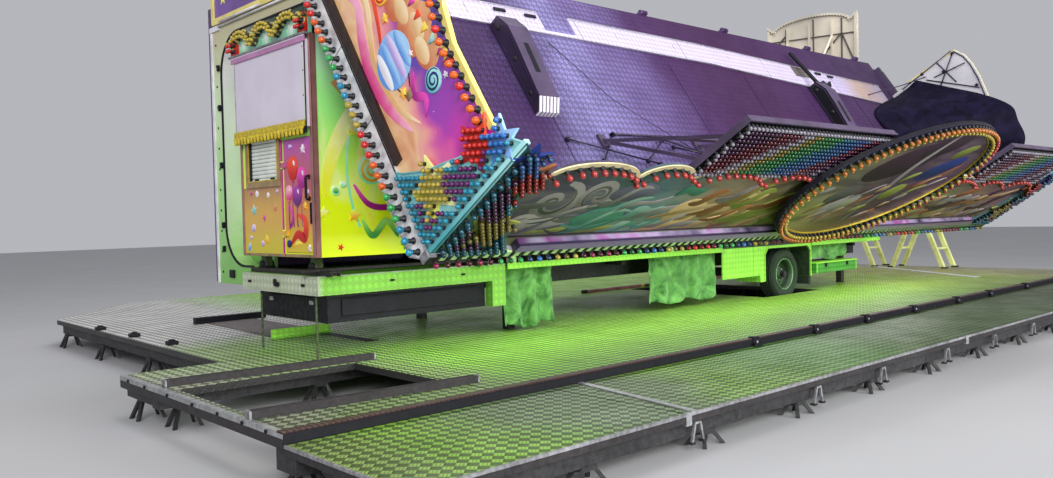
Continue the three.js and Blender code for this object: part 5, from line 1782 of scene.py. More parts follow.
def front_print():
    """Stars and dots on the panel under the booth's window."""
    front = Piece("front_print", slot="picture")
    face = facing_front(0.0)
    front.slab("panel", rect(0.657, 1.362, 1.504, 2.035), 0.0003, 0.001, face)
    pictures(front, face, marks(
        (1.28, 1.8, 0.075, "aqua_light", 80), (0.8, 1.82, 0.06, "peach", 100),
        (1.05, 1.72, 0.045, "magenta", 60), (1.2, 1.97, 0.035, "pearl"), (0.95, 1.95, 0.028, "pearl"),
        (1.33, 1.98, 0.022, "magenta"), (1.0, 1.5, 0.05, "sun", 75), (1.3, 1.62, 0.04, "lilac"),
        (1.1, 1.46, 0.03, "lilac"), (1.36, 1.52, 0.02, "lilac"), (0.75, 1.98, 0.02, "lilac"),
        (1.4, 1.42, 0.05, "sky_blue", 95)))
    front.done()


def door_print():
    """Ribbons, balloons and stars on the booth's door."""
    door = Piece("door_print", "booth_door", slot="picture")
    curl = [(0.5, 1.45), (0.36, 1.55), (0.22, 1.52), (0.2, 1.68), (0.36, 1.74)]
    shapes = [(ribbon(curl, 0.1), "scarlet"),
              (ribbon([(0.46, 1.42), (0.36, 1.47), (0.26, 1.46)], 0.035), "sun"),
              (ribbon([(0.52, 1.6), (0.44, 1.7), (0.5, 1.84)], 0.05), "magenta")]
    for u, v, r, paint in ((0.25, 2.1, 0.085, "magenta"), (0.42, 2.2, 0.095, "scarlet"),
                           (0.34, 1.93, 0.08, "plum"), (0.5, 1.96, 0.06, "rose")):
        shapes += balloon(u, v, r, paint, v - r * 1.45 - 1.62)
    shapes += marks((0.18, 1.82, 0.04, "sun", 90), (0.12, 1.42, 0.035, "pearl", 90),
                    (0.2, 2.36, 0.045, "pearl", 90), (0.45, 2.4, 0.02, "lilac"),
                    (0.52, 1.46, 0.035, "deep_blue"), (0.14, 1.95, 0.03, "lilac"))
    pictures(door, facing_front(0.002), shapes)
    door.done()


def side_print():
    """Arcs, bubbles, sweets and stars over the booth's near side."""
    side = Piece("side_print", slot="picture")
    shapes = [(band(arc_line(1.75, 2.2, 1.25, 120, 215, 18), 0.05), "lemon"),
              (band(arc_line(1.75, 2.2, 1.4, 125, 205, 18), 0.03), "mint_glow"),
              (ribbon([(0.1, 1.9), (0.2, 2.3), (0.42, 2.7), (0.62, 2.9)], 0.16, (0.1, 0.1)), "lemon"),
              ([(0.2, 2.98), (0.33, 3.06), (0.4, 2.78)], "peach"),
              ([(0.27, 2.92), (0.36, 2.98), (0.4, 2.78)], "leaf")]
    shapes += lolly(0.62, 2.17, 0.15, "mint_glow", "sun")
    shapes += lolly(1.15, 2.62, 0.19, "lemon", "magenta") + lolly(1.75, 2.15, 0.16, "sky_blue", "scarlet")
    shapes += [(ribbon([(0.42, 2.02), (0.58, 1.83), (0.82, 1.8), (1.1, 1.9)], 0.06, (0.2, 0.2)), "magenta"),
               (ribbon([(0.5, 1.68), (0.62, 1.52), (0.78, 1.66), (0.92, 1.5)], 0.07, (0.2, 0.2)), "leaf"),
               (ribbon([(1.25, 1.75), (1.5, 1.62), (1.8, 1.7), (2.1, 1.55)], 0.08, (0.1, 0.1)), "sun")]
    shapes += marks((0.26, 1.42, 0.035, "scarlet", 70), (0.09, 1.75, 0.06, "lemon", 90),
                    (0.42, 1.72, 0.075, "sun", 80), (1.0, 1.42, 0.06, "leaf", 110),
                    (1.15, 1.52, 0.07, "aqua_light", 85), (1.55, 2.9, 0.08, "scarlet", 90),
                    (2.05, 2.5, 0.07, "magenta", 90), (0.42, 2.54, 0.05, "lemon"),
                    (0.22, 1.96, 0.045, "mint_glow"), (0.22, 1.96, 0.03, "leaf"),
                    (0.3, 2.02, 0.03, "mint_glow"), (1.4, 1.4, 0.03, "pearl"),
                    (2.1, 3.1, 0.045, "mint_glow"), (0.75, 3.2, 0.04, "lemon"))
    pictures(side, facing_near(0.01), shapes)
    side.done()


def booth_details():
    """All that is fixed to the booth."""
    booth_edges()
    window_trim()
    door_handle()
    booth_shutter()
    booth_fringe()
    booth_crest()
    booth_roof_edge()
    front_print()
    door_print()
    side_print()


# Roof wing


def wing_lamp_order(number):
    """Colours of the front strip, in groups as they follow each other along it."""
    order = []
    while len(order) < number:
        for colour, count in (("wine", 6), ("wine", 5), ("red", 5)):
            order += [colour] * count + ["green"] * 3 + ["blue"] * 3 + ["gold"] * 3
    return order[:number]


def border_lamps():
    """Lamps in groups of three along both ends of the wing, with the strips' bright edges."""
    groups = ("cyan", "green", "orange", "red", "gold")
    steps = [0.06 + 0.105 * k for k in range(28)]
    for name, x, out in (("left", WING_LEFT, -1), ("right", WING_RIGHT, 1)):
        face = wing_end(x, out)
        strip = Piece("strip_lamps_" + name, "near_wing", slot="white")
        places = [(s, -0.125, groups[k // 3 % len(groups)]) for k, s in enumerate(steps)]
        lamps(strip, face, places, size=1.12, height=0.058)
        edge = [(-0.035, -0.012), (-0.035, -0.084), (0.092, -0.245), (2.975, -0.245), (2.975, -0.006)]
        strip.slab("chrome", band(edge, 0.01), 0.0, 0.008, face)
        strip.slab("black", band([(-0.03, -0.007), (2.97, -0.007)], 0.009), 0.0, 0.007, face)
        for s in np.arange(0.5, 2.9, 0.8):
            strip.slab("black", rect(s, -0.235, s + 0.004, -0.015), 0.0, 0.003, face)
        strip.done()


def front_lamps():
    """Pale green blocks along the outer edge, with black sockets and small caps between them."""
    front = Piece("strip_lamps_front", "near_wing", slot="white")
    face = wing_front(-0.04)
    number = 100
    order = wing_lamp_order(number)
    pitch = (WING_RIGHT - WING_LEFT - 0.1) / number
    places = [(WING_LEFT + 0.08 + pitch * k, -0.092, order[k] + "_dim" * (k % 2))
              for k in range(number)]
    for u, _, _ in places:
        front.box("strip_green", (u + 0.03, -0.078, 0.0), (u + pitch - 0.024, -0.003, 0.02), 0.003, face)
        front.box("socket", (u - 0.023, -0.108, 0.0), (u + 0.029, -0.003, 0.01), 0.002, face)
        front.box("socket", (u - 0.018, -0.076, 0.01), (u + 0.022, -0.004, 0.024), 0.003, face)
    lamps(front, face, places, 0.008, size=0.82, height=0.026)
    for x in (WING_LEFT, WING_RIGHT):
        low, high = (x - 0.022, x + 0.07) if x < 0 else (x - 0.07, x + 0.022)
        front.box("edge_grey", (low, -0.06, -0.13), (high, 0.02, -0.006), 0.012, WING)
        front.box("socket", (low + 0.012, -0.066, -0.115), (high - 0.012, -0.058, -0.02), 0.004, WING)
    front.done()


LEAF = ((0.0, 0.004), (0.76, 0.004), (0.7, 0.07), (0.53, 0.33), (0.435, 0.56), (0.36, 0.72),
        (0.31, 1.02), (0.24, 1.13), (0.14, 1.225), (0.0, 1.34))
# Each star: cap, board colour, its middle, its reach and the turn of its first point
STARS = (("gold", "lemon", 0.35, 0.345, 0.3, 79.0), ("red", "scarlet", 0.31, 0.935, 0.235, 54.0),
         ("blue", "sky_blue", 0.17, 1.15, 0.19, 30.0))
# Darker star boards for a leaf in the shade: painted shade.
SHADED_STAR_BOARDS = {"gold": "olive", "red": "rust", "blue": "deep_blue"}
LEAF_THICK = 0.03
LAMP_PITCH = (0.066, 0.046)


def star_shapes(start, sign):
    """Outlines of the three stars on a leaf, with their colours."""
    shapes = []
    for colour, board, offset, v, radius, turn in STARS:
        angle = turn if sign > 0 else 180.0 - turn
        shapes.append((star(start + sign * offset, v, radius, 0.44, 5, angle), colour, board))
    return shapes


def leaf_colour(point, outline, shapes):
    """Colour of the lamp at a point of a leaf, or nothing where there is none."""
    for shape, colour, _ in reversed(shapes):
        if inside(point, shape) and edge_distance(point, shape) > 0.006:
            return colour
    if not inside(point, outline):
        return None
    gap = edge_distance(point, outline)
    near_star = min(edge_distance(point, shape) for shape, _, _ in shapes)
    if gap < 0.026 or near_star < 0.016:
        return None
    return "teal" if gap < 0.11 or point[1] > 1.08 else "purple"


def star_leaf(piece, matrix, start, sign, base="aqua", dim=""):
    """One leaf with its three stars and its lamps; sign gives the way it spreads along the face."""
    outline = [(start + sign * a, b) for a, b in LEAF]
    piece.slab(base, outline, -LEAF_THICK, 0.0, matrix)
    shapes = star_shapes(start, sign)
    for layer, (shape, colour, board) in enumerate(shapes):
        # A leaf in the shade takes the darker star boards: painted shade.
        paint = SHADED_STAR_BOARDS[colour] if dim else board
        piece.slab(paint, shape, -0.012, 0.006 + 0.003 * layer, matrix)
    places = []
    low = min(u for u, _ in outline) - 0.05
    for row in range(32):
        for column in range(17):
            point = (low + (column + 0.5 * (row % 2)) * LAMP_PITCH[0], 0.035 + row * LAMP_PITCH[1])
            colour = leaf_colour(point, outline, shapes)
            if colour:
                places.append((*point, colour + dim))
    lamps(piece, matrix, places, 0.008, size=0.84, height=0.022, lean=True)
    # A leaf in the shade takes a darker rim: painted shade.
    rim = "aqua_shaded" if dim else "aqua_light"
    piece.slab(rim, band(outline, 0.012, True), 0.0, 0.008, matrix)


def star_boards():
    """Two leaves at each outer corner, one on the end and one, in the shade, on the front."""
    for name, x, out, sign in (("left", WING_LEFT, -1, 1), ("right", WING_RIGHT, 1, -1)):
        piece = Piece("star_boards_" + name, "near_wing", replaces=("star_board_" + name,), slot="aqua")
        star_leaf(piece, wing_end(x, out), -0.03, 1)
        # The front leaf lies in the shade and takes darker copies of the board, stars and lamps: painted
        # shade.
        star_leaf(piece, wing_front(-0.03), x, sign, "aqua_shaded", "_dim")
        corner = rect(-0.034, 0.004, 0.0, 1.343)
        piece.slab("aqua_light", corner, -0.034, 0.01, wing_end(x, out))
        piece.done()


def picture_line(name):
    """Free edge of a picture board, from the hinge side down to the front."""
    end = [(1.08, FASCIA_PEAK), (0.3, FASCIA_PEAK), (0.033, 1.08)]
    if name == "left":
        return [(2.62, 1.18)] + arc_line(1.95, 0.9, 0.7, 22, 142, 16, 0.48) + end
    return [(2.62, 0.36), (2.55, 1.22), (2.38, 1.29), (2.2, 1.3), (1.95, 1.27), (1.66, 1.2),
            (1.4, 1.15)] + end


def end_boards():
    """Picture, border and beam of both end boards, and the lamps of the front one."""
    for name, x, out in (("left", WING_LEFT + BOARD_THICK, -1), ("right", WING_RIGHT - BOARD_THICK, 1)):
        face = wing_end(x, out)
        piece = Piece("picture_rim_" + name, "near_wing", slot="picture")
        crest = picture_line(name)
        piece.slab("sky", [(0.033, 0.002), (2.618, 0.002)] + crest, 0.0003, 0.002, face)
        line = [(s, t - 0.024) for s, t in crest[:-1]]
        piece.slab("yellow", band(line, 0.055), -0.031 if out < 0 else 0.0, 0.014, face)
        if out < 0:
            spots = along([(s, t - 0.03) for s, t in line], 0.105, 0.05)
            places = [(s, t, "orange" if k % 5 else "red") for k, (s, t) in enumerate(spots)]
            lamps(piece, face, places, 0.014, size=1.1, height=0.05)
        beam_x = WING_LEFT if out < 0 else WING_RIGHT
        low, high = sorted((beam_x + 0.0006 * out, beam_x - 0.0356 * out))
        piece.box("beam", (low - 0.003, 0.797, 0.001), (high + 0.003, 3.1, 0.095), 0.003, WING)
        pictures(piece, face, board_art(), 0.002, lift=0.0003)
        piece.done()


def board_frame():
    """Thin bars on the inner face of the rear picture board."""
    bars = Piece("board_frame", "near_wing", slot="steel")
    x = REAR_BOARD_X - 0.012
    lines = [[(x, s, t - 0.03) for s, t in picture_line("right")[1:7]],
             [(x, 2.58, 1.17), (x, 2.59, 0.2)], [(x, 2.45, 0.6), (x, 1.79, 1.17)],
             [(x, 2.58, 0.89), (x, 2.1, 0.95)], [(x, 2.27, 1.22), (x, 2.4, 0.72)],
             [(x, 2.52, 1.15), (x, 2.2, 0.7)],
             [(x, 2.5, 0.62), (10.5, 2.5, 0.35), (9.9, 2.52, 0.02)]]
    for line in lines:
        bars.add(tube(line, 0.009, 6), "dark_bar", WING, True)
    for s, t in ((2.38, 0.89), (2.58, 0.6), (2.53, 1.16), (1.85, 1.16)):
        bars.box("dark_bar", (x - 0.02, s - 0.022, t - 0.022), (x + 0.011, s + 0.022, t + 0.022), 0.006,
                 WING)
    bars.done()


# Ribbons across a picture board: line, width and colour
BOARD_RIBBONS = (
    ([(2.56, 0.2), (2.25, 0.34), (1.95, 0.22), (1.6, 0.14), (1.2, 0.2), (0.88, 0.34)], 0.13, "rose"),
    ([(2.56, 0.34), (2.2, 0.46), (1.9, 0.34), (1.66, 0.24), (1.2, 0.28), (0.86, 0.46)], 0.07, "cream"),
    ([(2.5, 0.44), (2.2, 0.55), (1.85, 0.46), (1.62, 0.34)], 0.045, "scarlet"),
    ([(1.25, 0.62), (1.1, 0.52), (0.98, 0.62), (0.86, 0.54)], 0.07, "magenta"))
BUNTING = ("scarlet", "sun", "aqua_light", "magenta")


def board_art():
    """Evening sky with a cloud bank, a striped balloon, sweets, bunting, ribbons and stars."""
    shapes = [(ellipse(u, v, r * 1.25, r), "peach")
              for u, v, r in ((1.86, 0.74, 0.13), (1.7, 0.88, 0.14), (1.5, 0.94, 0.12),
                              (1.28, 0.86, 0.15), (1.52, 0.77, 0.17))]
    shapes += [(ellipse(u, v, r * 1.3, r * 0.75), "cream")
               for u, v, r in ((1.74, 0.78, 0.1), (1.5, 0.86, 0.1), (1.3, 0.8, 0.1))]
    shapes += [(ribbon(line, width), paint) for line, width, paint in BOARD_RIBBONS]
    shapes += striped_balloon(1.5, 0.47, 0.24, "sky_blue", ("pearl", "sky_blue", "lilac", "sky_blue"))
    shapes += striped_balloon(2.3, 0.82, 0.17, "sun", ("scarlet", "sun", "aqua_light", "magenta"))
    shapes += lolly(1.02, 0.78, 0.1, "aqua_light", "deep_blue") + lolly(2.05, 0.66, 0.1, "sun", "scarlet")
    for k in range(9):
        u, v = 2.15 - 0.14 * k, 1.05 - 0.1 * math.sin(math.pi * k / 8)
        flag = [(u, v), (u - 0.07, v - 0.003), (u - 0.035, v - 0.085)]
        shapes.append((flag, BUNTING[k % len(BUNTING)]))
    shapes.append((crescent(1.1, 0.98, 0.06, 100), "sun"))
    return shapes + marks((0.95, 0.92, 0.03, "pearl", 90), (1.38, 0.68, 0.03, "pearl", 90),
                          (1.2, 0.42, 0.05, "sun", 70), (2.42, 0.58, 0.04, "pearl", 90),
                          (1.85, 0.58, 0.045, "sun", 100))


def striped_balloon(u0, v0, r, paint, stripes):
    """A round balloon with lens-shaped stripes and a small basket."""
    shapes = [(ellipse(u0, v0, r, r, 24), paint)]
    for stripe, place in zip(stripes, (-0.6, -0.2, 0.2, 0.6)):
        shapes.append((ellipse(u0, v0 + place * r, r * math.sqrt(1 - place ** 2), r * 0.2, 16), stripe))
    foot = u0 - r * 1.35
    basket = [(foot, v0 - r * 0.2), (foot - r * 0.3, v0 - r * 0.15), (foot - r * 0.3, v0 + r * 0.15),
              (foot, v0 + r * 0.2)]
    shapes.append((basket, "tan"))
    for side in (-1, 1):
        rope = [(foot, v0 + side * r * 0.18), (u0 - r * 0.9, v0 + side * r * 0.4)]
        shapes.append((ribbon(rope, 0.008), "ink"))
    return shapes


def tongues(random, x0, x1, number, paints, lean, lengths, width):
    """Airbrushed tongues of flame that lean along a board, as printed shapes."""
    shapes = []
    for k in range(number):
        x = x0 + (x1 - x0) * (k + random.uniform(0.0, 1.0)) / number
        t = random.uniform(0.2, 0.78)
        length = random.uniform(*lengths)
        rise = length * lean * random.uniform(0.6, 1.1)
        curl = random.uniform(-0.1, 0.1)
        line = [(x - length / 2, t - rise / 2), (x - length / 6, t - rise / 4 + curl),
                (x + length / 5, t + rise / 4 - curl / 2), (x + length / 2, t + rise / 2)]
        shape = ribbon(line, width * random.uniform(0.5, 1.3), (0.15, 0.02), 6)
        shapes.append((clipped(shape), paints[k % len(paints)]))
    return shapes


# Fields of tongues along the fascia: from, to, number, colours, lean, lengths and width
TONGUES = (
    (0.4, 1.5, 8, ("smoke_dark", "smoke_cream", "violet_smoke"), 0.3, (0.4, 0.8), 0.06),
    (1.3, 2.5, 14, ("sea", "sea_pale", "smoke_cream", "sea_pale"), 0.35, (0.3, 0.8), 0.09),
    (2.3, 3.5, 14, ("rust", "peach_dim", "smoke_cream", "tan"), 0.4, (0.3, 0.9), 0.1),
    (3.2, 4.6, 14, ("rust", "moss", "moss", "tan"), 0.55, (0.5, 1.2), 0.1),
    (4.4, 7.8, 26, ("rust", "moss", "smoke_cream", "moss"), 0.45, (0.5, 1.2), 0.09),
    (7.4, 10.4, 30, ("smoke_cream", "plum_dim", "rust", "smoke_dark", "tan"), 0.35, (0.4, 1.2), 0.09))


def fascia_art():
    """Smoky swirls, sea green and embers along the painted fascia."""
    random = np.random.default_rng(21)
    shapes = []
    for u, v, size, turn in ((0.75, 0.6, 0.42, 20), (1.2, 0.7, 0.34, 200), (0.62, 0.26, 0.3, 120)):
        pale = spiral(u, v, size * 0.62, 1.2, size * 0.36, turn)
        dark = spiral(u, v, size * 0.5, 1.05, size * 0.1, turn + 25)
        shapes += [(clipped(pale, high=0.93), "smoke_cream"), (clipped(dark, 0.16, 0.92), "smoke_dark")]
    upper = ribbon([(0.35, 0.2), (0.7, 0.34), (1.0, 0.24), (1.4, 0.3)], 0.16)
    lower = ribbon([(0.7, 0.17), (1.1, 0.22), (1.5, 0.18), (1.8, 0.24)], 0.1)
    shapes += [(clipped(upper), "smoke_cream"), (clipped(lower), "moss")]
    shapes += tongues(random, *TONGUES[0])
    shapes += [(clipped(ellipse(1.45, 0.36, 0.3, 0.16, 24, 0.15)), "sea"),
               (clipped(ellipse(1.6, 0.74, 0.28, 0.13, 24, 0.1), high=0.93), "violet_smoke")]
    shapes += tongues(random, *TONGUES[1])
    # This peach patch lies on the same painted reflection as the peach stops of the fascia.
    shapes += [(clipped(ellipse(2.6, 0.42, 0.26, 0.22, 24, 0.2)), "peach_dim")]
    for field in TONGUES[2:]:
        shapes += tongues(random, *field)
    return shapes


def fascia_crests():
    """Cream trim and lamps along the fascia's scallops, with the print below them."""
    face = wing_front(0.0)
    piece = Piece("fascia_crest", "near_wing", slot="painted")
    spots, rise = [], FASCIA_PEAK - FASCIA_VALLEY
    for feet in SCALLOPS:
        for a, b in zip(feet, feet[1:]):
            middle, half = (a + b) / 2, (b - a) / 2 - 0.005
            line = arc_line(middle, FASCIA_VALLEY - 0.012, half - 0.01, 178, 2, 14, rise)
            piece.slab("cream_trim", band(line, 0.045), 0.0, 0.012, face)
            inner = arc_line(middle, FASCIA_VALLEY - 0.042, half - 0.025, 178, 2, 14, rise)
            spots += [(u, v, "soft_red") for u, v in along(inner, 0.112, 0.03)]
    lamps(piece, face, spots, 0.008, size=0.95, height=0.036)
    for x0, x1 in ((-0.05, 0.43), (5.14, 5.84), (10.5, 10.95)):
        piece.slab("cream_trim", rect(x0, 0.925, x1, 0.947), 0.0, 0.012, face)
    piece.slab("ink", rect(-0.06, 0.13, 10.96, 0.146), 0.0, 0.006, face)
    pictures(piece, face, fascia_art(), lift=0.00012)
    piece.done()


def oval_ring(inset):
    """The oval board's outline, moved inwards."""
    return ellipse(0.0, 0.0, OVAL["length"] - inset, OVAL["height"] - inset, 72)


def oval_details():
    """Print, dark rim, gold line and two rings of lamps on the oval board."""
    face = (wing_front(-0.12) @ Matrix.Translation((OVAL["x"], OVAL["t"], 0.0))
            @ Matrix.Rotation(math.radians(OVAL["tilt"]), 4, "Z"))
    piece = Piece("oval_rim", "near_wing", slot="painted")
    piece.slab("oval", oval_ring(0.1), 0.0003, 0.002, face)
    piece.slab("ink", band(oval_ring(0.055), 0.11, True), 0.0, 0.012, face)
    piece.slab("gold_trim", band(oval_ring(0.112), 0.012, True), 0.0, 0.018, face)
    for inset, colour, size, start in ((0.03, "amber", 0.9, 0.06), (0.085, "gold", 0.75, 0.02)):
        line = oval_ring(inset)
        places = [(u, v, "soft_red" if colour == "amber" and u > 1.15 else colour)
                  for u, v in along(line + [line[0]], 0.085, start)]
        lamps(piece, face, places, 0.012, size=size, height=0.035)
    pictures(piece, face, oval_art(), 0.002, lift=0.00015)
    piece.done()


def oval_art():
    """Plum and mauve drifts, a blue oblong and pale streaks across the oval board."""
    random = np.random.default_rng(8)
    streak = [(-0.15, -0.75), (0.05, -0.2), (0.12, 0.3), (0.4, 0.85)]
    shapes = [(ellipse(-0.15, 0.42, 0.62, 0.26, 28, 0.25), "plum_dim"),
              (ellipse(0.35, 0.62, 0.4, 0.18, 24, 0.2), "plum_dim"),
              (ellipse(0.85, 0.12, 0.4, 0.15, 24, 0.3), "deep_blue"),
              (ellipse(0.95, 0.42, 0.22, 0.09, 18, 0.3), "moss"),
              (ribbon([(0.5, -0.2), (0.9, -0.14), (1.3, 0.14)], 0.1), "rust"),
              (ellipse(0.3, -0.22, 0.2, 0.12, 18, 0.4), "moss"),
              (ribbon(streak, 0.1, (0.4, 0.2)), "smoke_cream"),
              (ellipse(-0.75, -0.05, 0.26, 0.13, 20, 0.3), "smoke_dark"),
              (ellipse(-0.62, -0.3, 0.34, 0.16, 20, 0.3), "smoke_cream")]
    for k in range(26):
        u = -1.2 + 2.3 * (k + random.uniform(0, 1)) / 26
        reach = 0.72 * math.sqrt(max(0.05, 1 - (u / 1.5) ** 2))
        v = random.uniform(-reach, reach * 0.2)
        length = random.uniform(0.15, 0.42)
        line = [(u - length / 2, v - length * 0.18), (u, v + 0.02), (u + length / 2, v + length * 0.22)]
        paint = ("smoke_cream", "rust", "moss", "tan", "plum_dim")[k % 5]
        shapes.append((ribbon(line, random.uniform(0.03, 0.08), (0.1, 0.02), 5), paint))
    return shapes


ORNAMENT_STRIPES = ("purple", "purple", "wine", "wine", "silver", "gold", "green", "green", "teal",
                    "blue", "blue", "wine", "purple", "silver", "purple", "purple", "silver")


def sign_colour(point, outline):
    """Colour of a sign's lamp: silver round the edge, slanting stripes within."""
    u, v = point
    if edge_distance(point, outline) < 0.075:
        return "silver"
    share = (u - outline[0][0] - (v - 1.0) * 1.4 + 0.55) / 3.0
    colour = ORNAMENT_STRIPES[int(min(max(share, 0.0), 0.999) * len(ORNAMENT_STRIPES))]
    return colour if colour == "silver" else colour + "_dim"


def ornament_lamps():
    """Body and lamps of the two bulb signs."""
    face = wing_front(0.03)
    for name, (x0, x1) in zip(("left", "right"), ORNAMENTS):
        outline = [(x0, 1.0), (x1, 1.0), (x1, 1.72), (x0 + 0.06, 1.72)]
        piece = Piece("sign_lamps_" + name, "near_wing", slot="purple")
        piece.slab("sign_body", band(outline, 0.014, True), 0.0, 0.025, face)
        piece.slab("black", outline, 0.0003, 0.003, face)
        places = [(*point, sign_colour(point, outline)) for point in lattice(outline, 0.06, 0.035)]
        lamps(piece, face, places, size=0.76, height=0.035, lean=True)
        piece.done()


def wing_fittings():
    """Seams, bright strips, catches, both lift arms and a hook on top of the wing."""
    top = wing_top()
    piece = Piece("wing_fittings", "near_wing", slot="violet")
    for x in (2.05, 4.65, 6.3, 7.75, 9.3):
        piece.slab("black", rect(x, 0.06, x + 0.006, 2.5), 0.0004, 0.003, top)
    lower = [(0.0, 2.714), (5.6, 2.644), (10.6, 2.354)]
    piece.slab("chrome", band(lower, 0.014), 0.0082, 0.018, top)
    for upper in ([(0.0, 3.022), (2.66, 3.006)], [(3.16, 3.003), (5.6, 2.987), (10.6, 2.792)]):
        piece.slab("chrome", band(upper, 0.014), 0.0082, 0.018, top)
    for x, s in ((2.0, 2.93), (2.44, 2.92), (8.5, 2.82), (8.86, 2.8)):
        piece.box("black", (x, s - 0.022, 0.008), (x + 0.17, s + 0.022, 0.03), 0.008, WING)
    for x in (0.7, 1.6, 3.9, 5.0, 6.2, 7.2, 9.6):
        piece.box("edge_grey", (x, 2.8, 0.0082), (x + 0.01, 2.99 - 0.02 * x, 0.0092), matrix=WING)
    for x, head in ARMS:
        arm_details(piece, x, head)
    claw = [(8.28, 2.46), (8.5, 2.46), (8.66, 2.54), (8.74, 2.66), (8.66, 2.63), (8.56, 2.57), (8.5, 2.64),
            (8.4, 2.6), (8.28, 2.58)]
    piece.slab("black", claw, 0.01, 0.06, top)
    piece.add(tube([(8.08, 2.4, 0.13), (8.02, 2.8, 0.1), (7.98, 3.12, 0.07)], 0.03, 8), "black", WING, True)
    piece.box("dark_plate", (7.87, 2.71, 0.0005), (8.33, 2.9, 0.006), matrix=WING)
    piece.done()


def wing_struts():
    """Thin bars and a stay that fold flat above the plates, behind the signs."""
    struts = Piece("wing_struts", "near_wing", slot="steel")
    bars = (((2.78, 1.26, 0.04), (4.75, 1.27, 0.07), 0.013), ((2.07, 1.17, 0.03), (3.2, 0.84, 0.1), 0.009),
            ((2.78, 1.26, 0.04), (2.41, 0.9, 0.05), 0.007), ((3.57, 1.23, 0.05), (3.0, 0.86, 0.12), 0.012),
            ((3.57, 1.23, 0.05), (4.2, 0.98, 0.1), 0.012), ((3.66, 1.11, 0.07), (4.3, 0.75, 0.3), 0.011),
            ((8.6, 1.3, 0.03), (9.4, 0.85, 0.55), 0.013))
    for start, end, radius in bars:
        struts.add(tube([start, end], radius, 8), "dark_bar", WING, True)
        for u, v, t in (start, end):
            struts.box("dark_bar", (u - 0.022, v - 0.022, max(0.001, t - 0.03)),
                       (u + 0.022, v + 0.022, t + 0.014), 0.006, WING)
    stay = tube([(2.6, 2.55, 0.01), (3.09, 1.77, 0.04), (4.1, 0.95, 0.1)], 0.0045, 6)
    struts.add(stay, "dark_bar", WING, True)
    struts.done()


def arm_details(piece, x, head):
    """Plates, pins and the slatted foot of a lift arm."""
    w = ARM_WIDTH
    foot = head - ARM_LENGTH
    side = wing_end(x, -1)
    for face in (side, wing_end(x + w, 1)):
        plate = [(foot + 0.12, 0.025), (head - 0.03, 0.025), (head - 0.03, 0.125), (head - 0.2, 0.185),
                 (head - 0.45, 0.175), (foot + 0.15, 0.125)]
        # The side plates take the darker side colour: painted shade.
        piece.slab("arm_side_shaded", band(plate, 0.014, True), 0.0, 0.006, face)
        bolt = turned_profile([(0.026, 0.0), (0.026, 0.008), (0.014, 0.016), (0.0, 0.018)], 12)
        places = [(head - 0.12, 0.09, 0.0), (foot + 0.22, 0.075, 0.0), (head - 0.55, 0.1, 0.0)]
        piece.copies(bolt, "rail", places, face, False)
    spine = [(foot + 0.12, 0.153), (head - 0.45, 0.203), (head - 0.2, 0.213), (head - 0.002, 0.143)]
    piece.slab("arm_top", band(spine, 0.006), -w - 0.002, 0.002, side)
    slot = [(foot + 0.42, 0.182), (head - 0.42, 0.207)]
    piece.slab("black", band(slot, 0.006), -0.16, -0.1, side)
    face_line = [(foot - 0.004, 0.001), (foot - 0.004, 0.062), (foot + 0.118, 0.155)]
    piece.slab("lilac_panel", band(face_line, 0.008), -w - 0.004, 0.004, side)
    for k in range(5):
        across = -0.03 - 0.048 * k
        line = [(foot - 0.009, 0.008), (foot - 0.009, 0.066), (foot + 0.112, 0.159)]
        piece.slab("rail", band(line, 0.004), across - 0.008, across, side)


def tarpaulin_point(share, up, start, top, phase):
    """A point of the tarpaulin: up runs from the plates to the board's edge and down behind it."""
    if up > 1 - HEM_SHARE:
        part = (up - (1 - HEM_SHARE)) / HEM_SHARE
        hang = 0.13 * part * math.sin(math.pi * share) ** 0.5
        return top + np.array((0.075 * min(1.0, 3 * part), 0.0, 0.02 * math.sin(math.pi * part) - hang))
    part = up / (1 - HEM_SHARE)
    point = start + (top - start) * part
    fold = (math.sin(11 * share + 2.5 * part + phase[0]) + 0.6 * math.sin(23 * share + phase[1])
            + 0.4 * math.sin(6 * part + 9 * share + phase[2]))
    lift = math.sin(math.pi * part)
    point[2] += (0.018 * fold - 0.03) * lift * min(1.0, 4 * share * (1 - share) + 0.2)
    point[0] += 0.012 * fold * lift
    point[2] = max(point[2], 0.012)
    return point


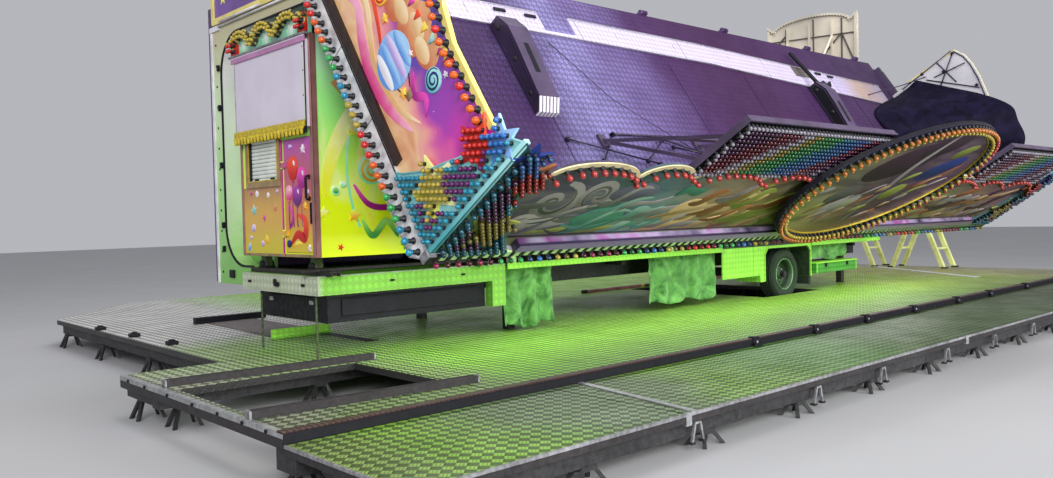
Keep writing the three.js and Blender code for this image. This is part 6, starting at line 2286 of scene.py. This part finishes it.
def tarpaulin():
    """Black tarpaulin thrown over the rear picture board, sloping down to the plates."""
    random = np.random.default_rng(11)
    low_path = smooth_line([(REAR_BOARD_X, 2.56), (10.2, 2.36), (9.66, 2.12), (9.6, 1.86), (9.74, 1.6),
                            (10.3, 1.14), (REAR_BOARD_X, 0.62)], 6)
    high_path = smooth_line([(2.56, 0.47), (2.1, 0.82), (1.66, 1.15), (1.25, 1.36), (1.0, 1.31),
                             (0.7, 1.22), (0.45, 0.88)], 6)
    columns, rows = 60, 30
    phase = random.uniform(0, 2 * math.pi, 8)
    middle = np.empty((columns + 1, rows + 1, 3))
    for i in range(columns + 1):
        share = i / columns
        low, high = along_path(low_path, share), along_path(high_path, share)
        start = np.array((low[0], low[1], 0.014))
        top = np.array((REAR_BOARD_X - 0.006, high[0], high[1]))
        for j in range(rows + 1):
            middle[i, j] = tarpaulin_point(share, j / rows, start, top, phase)
    piece = Piece("tarpaulin_cloth", "near_wing", replaces=("tarpaulin",), slot="black_tarp")
    piece.add(shell(thickened(middle, CLOTH_HALF)), "black_tarp", WING, True)
    piece.done()


def wing_details():
    """All that rides on the near roof wing."""
    border_lamps()
    front_lamps()
    star_boards()
    end_boards()
    board_frame()
    fascia_crests()
    oval_details()
    ornament_lamps()
    wing_fittings()
    wing_struts()
    tarpaulin()


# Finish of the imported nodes


FINISHES = {
    "steel": ("chassis", "bearer_outer", "bearer_seam", "bearer_inner", "bearer_far_inner",
              "bearer_far_edge"),
    "step": ("step_platform",),
    # The right lift arm is painted black and the left one the darker side colour: painted shade on the
    # arms' sides.
    "black": ("step_recess_box", "lift_arm_right", "oval_board"),
    "arm_side_shaded": ("lift_arm_left",),
    "mint": ("portal", "portal_panel", "rear_portal"),
    "portal_edge": ("near_side_frame",),
    "roof_violet": ("roof", "far_wing"),
    "gable_purple": ("front_gable",),
    "gable_white": ("rear_gable",),
    "green_tread": ("wheel_skirt",),
    "dark_green": ("toolbox",),
    "lime": ("booth_body",),
    "door": ("booth_door",),
    "brown_frame": ("booth_window_frame",),
    "lilac_panel": ("booth_sign_panel",),
    "crest": ("booth_crest",),
    "violet": ("near_wing",),
    "silver_tread": ("wing_band",),
    "strip": ("border_strip",),
    "board_white": ("end_board_left", "end_board_right"),
    "ledge": ("front_ledge",),
    "flames": ("fascia_left", "fascia_right"),
    "sign_body": ("ornament_left", "ornament_right"),
    "deck": ("deck_left", "deck_near_left", "deck_near_right", "deck_far_left", "deck_far_right"),
    "outer_deck": ("outer_row_left", "outer_row_right"),
    "cream_paint": ("rear_trestle",)}


def dress_nodes():
    """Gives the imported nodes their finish."""
    for paint, nodes in FINISHES.items():
        for node in nodes:
            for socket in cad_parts[node].material_slots:
                socket.material = M[paint]


make_camera()
make_lights()
make_floor()
dress_nodes()
deck_details()
trailer_details()
booth_details()
wing_details()
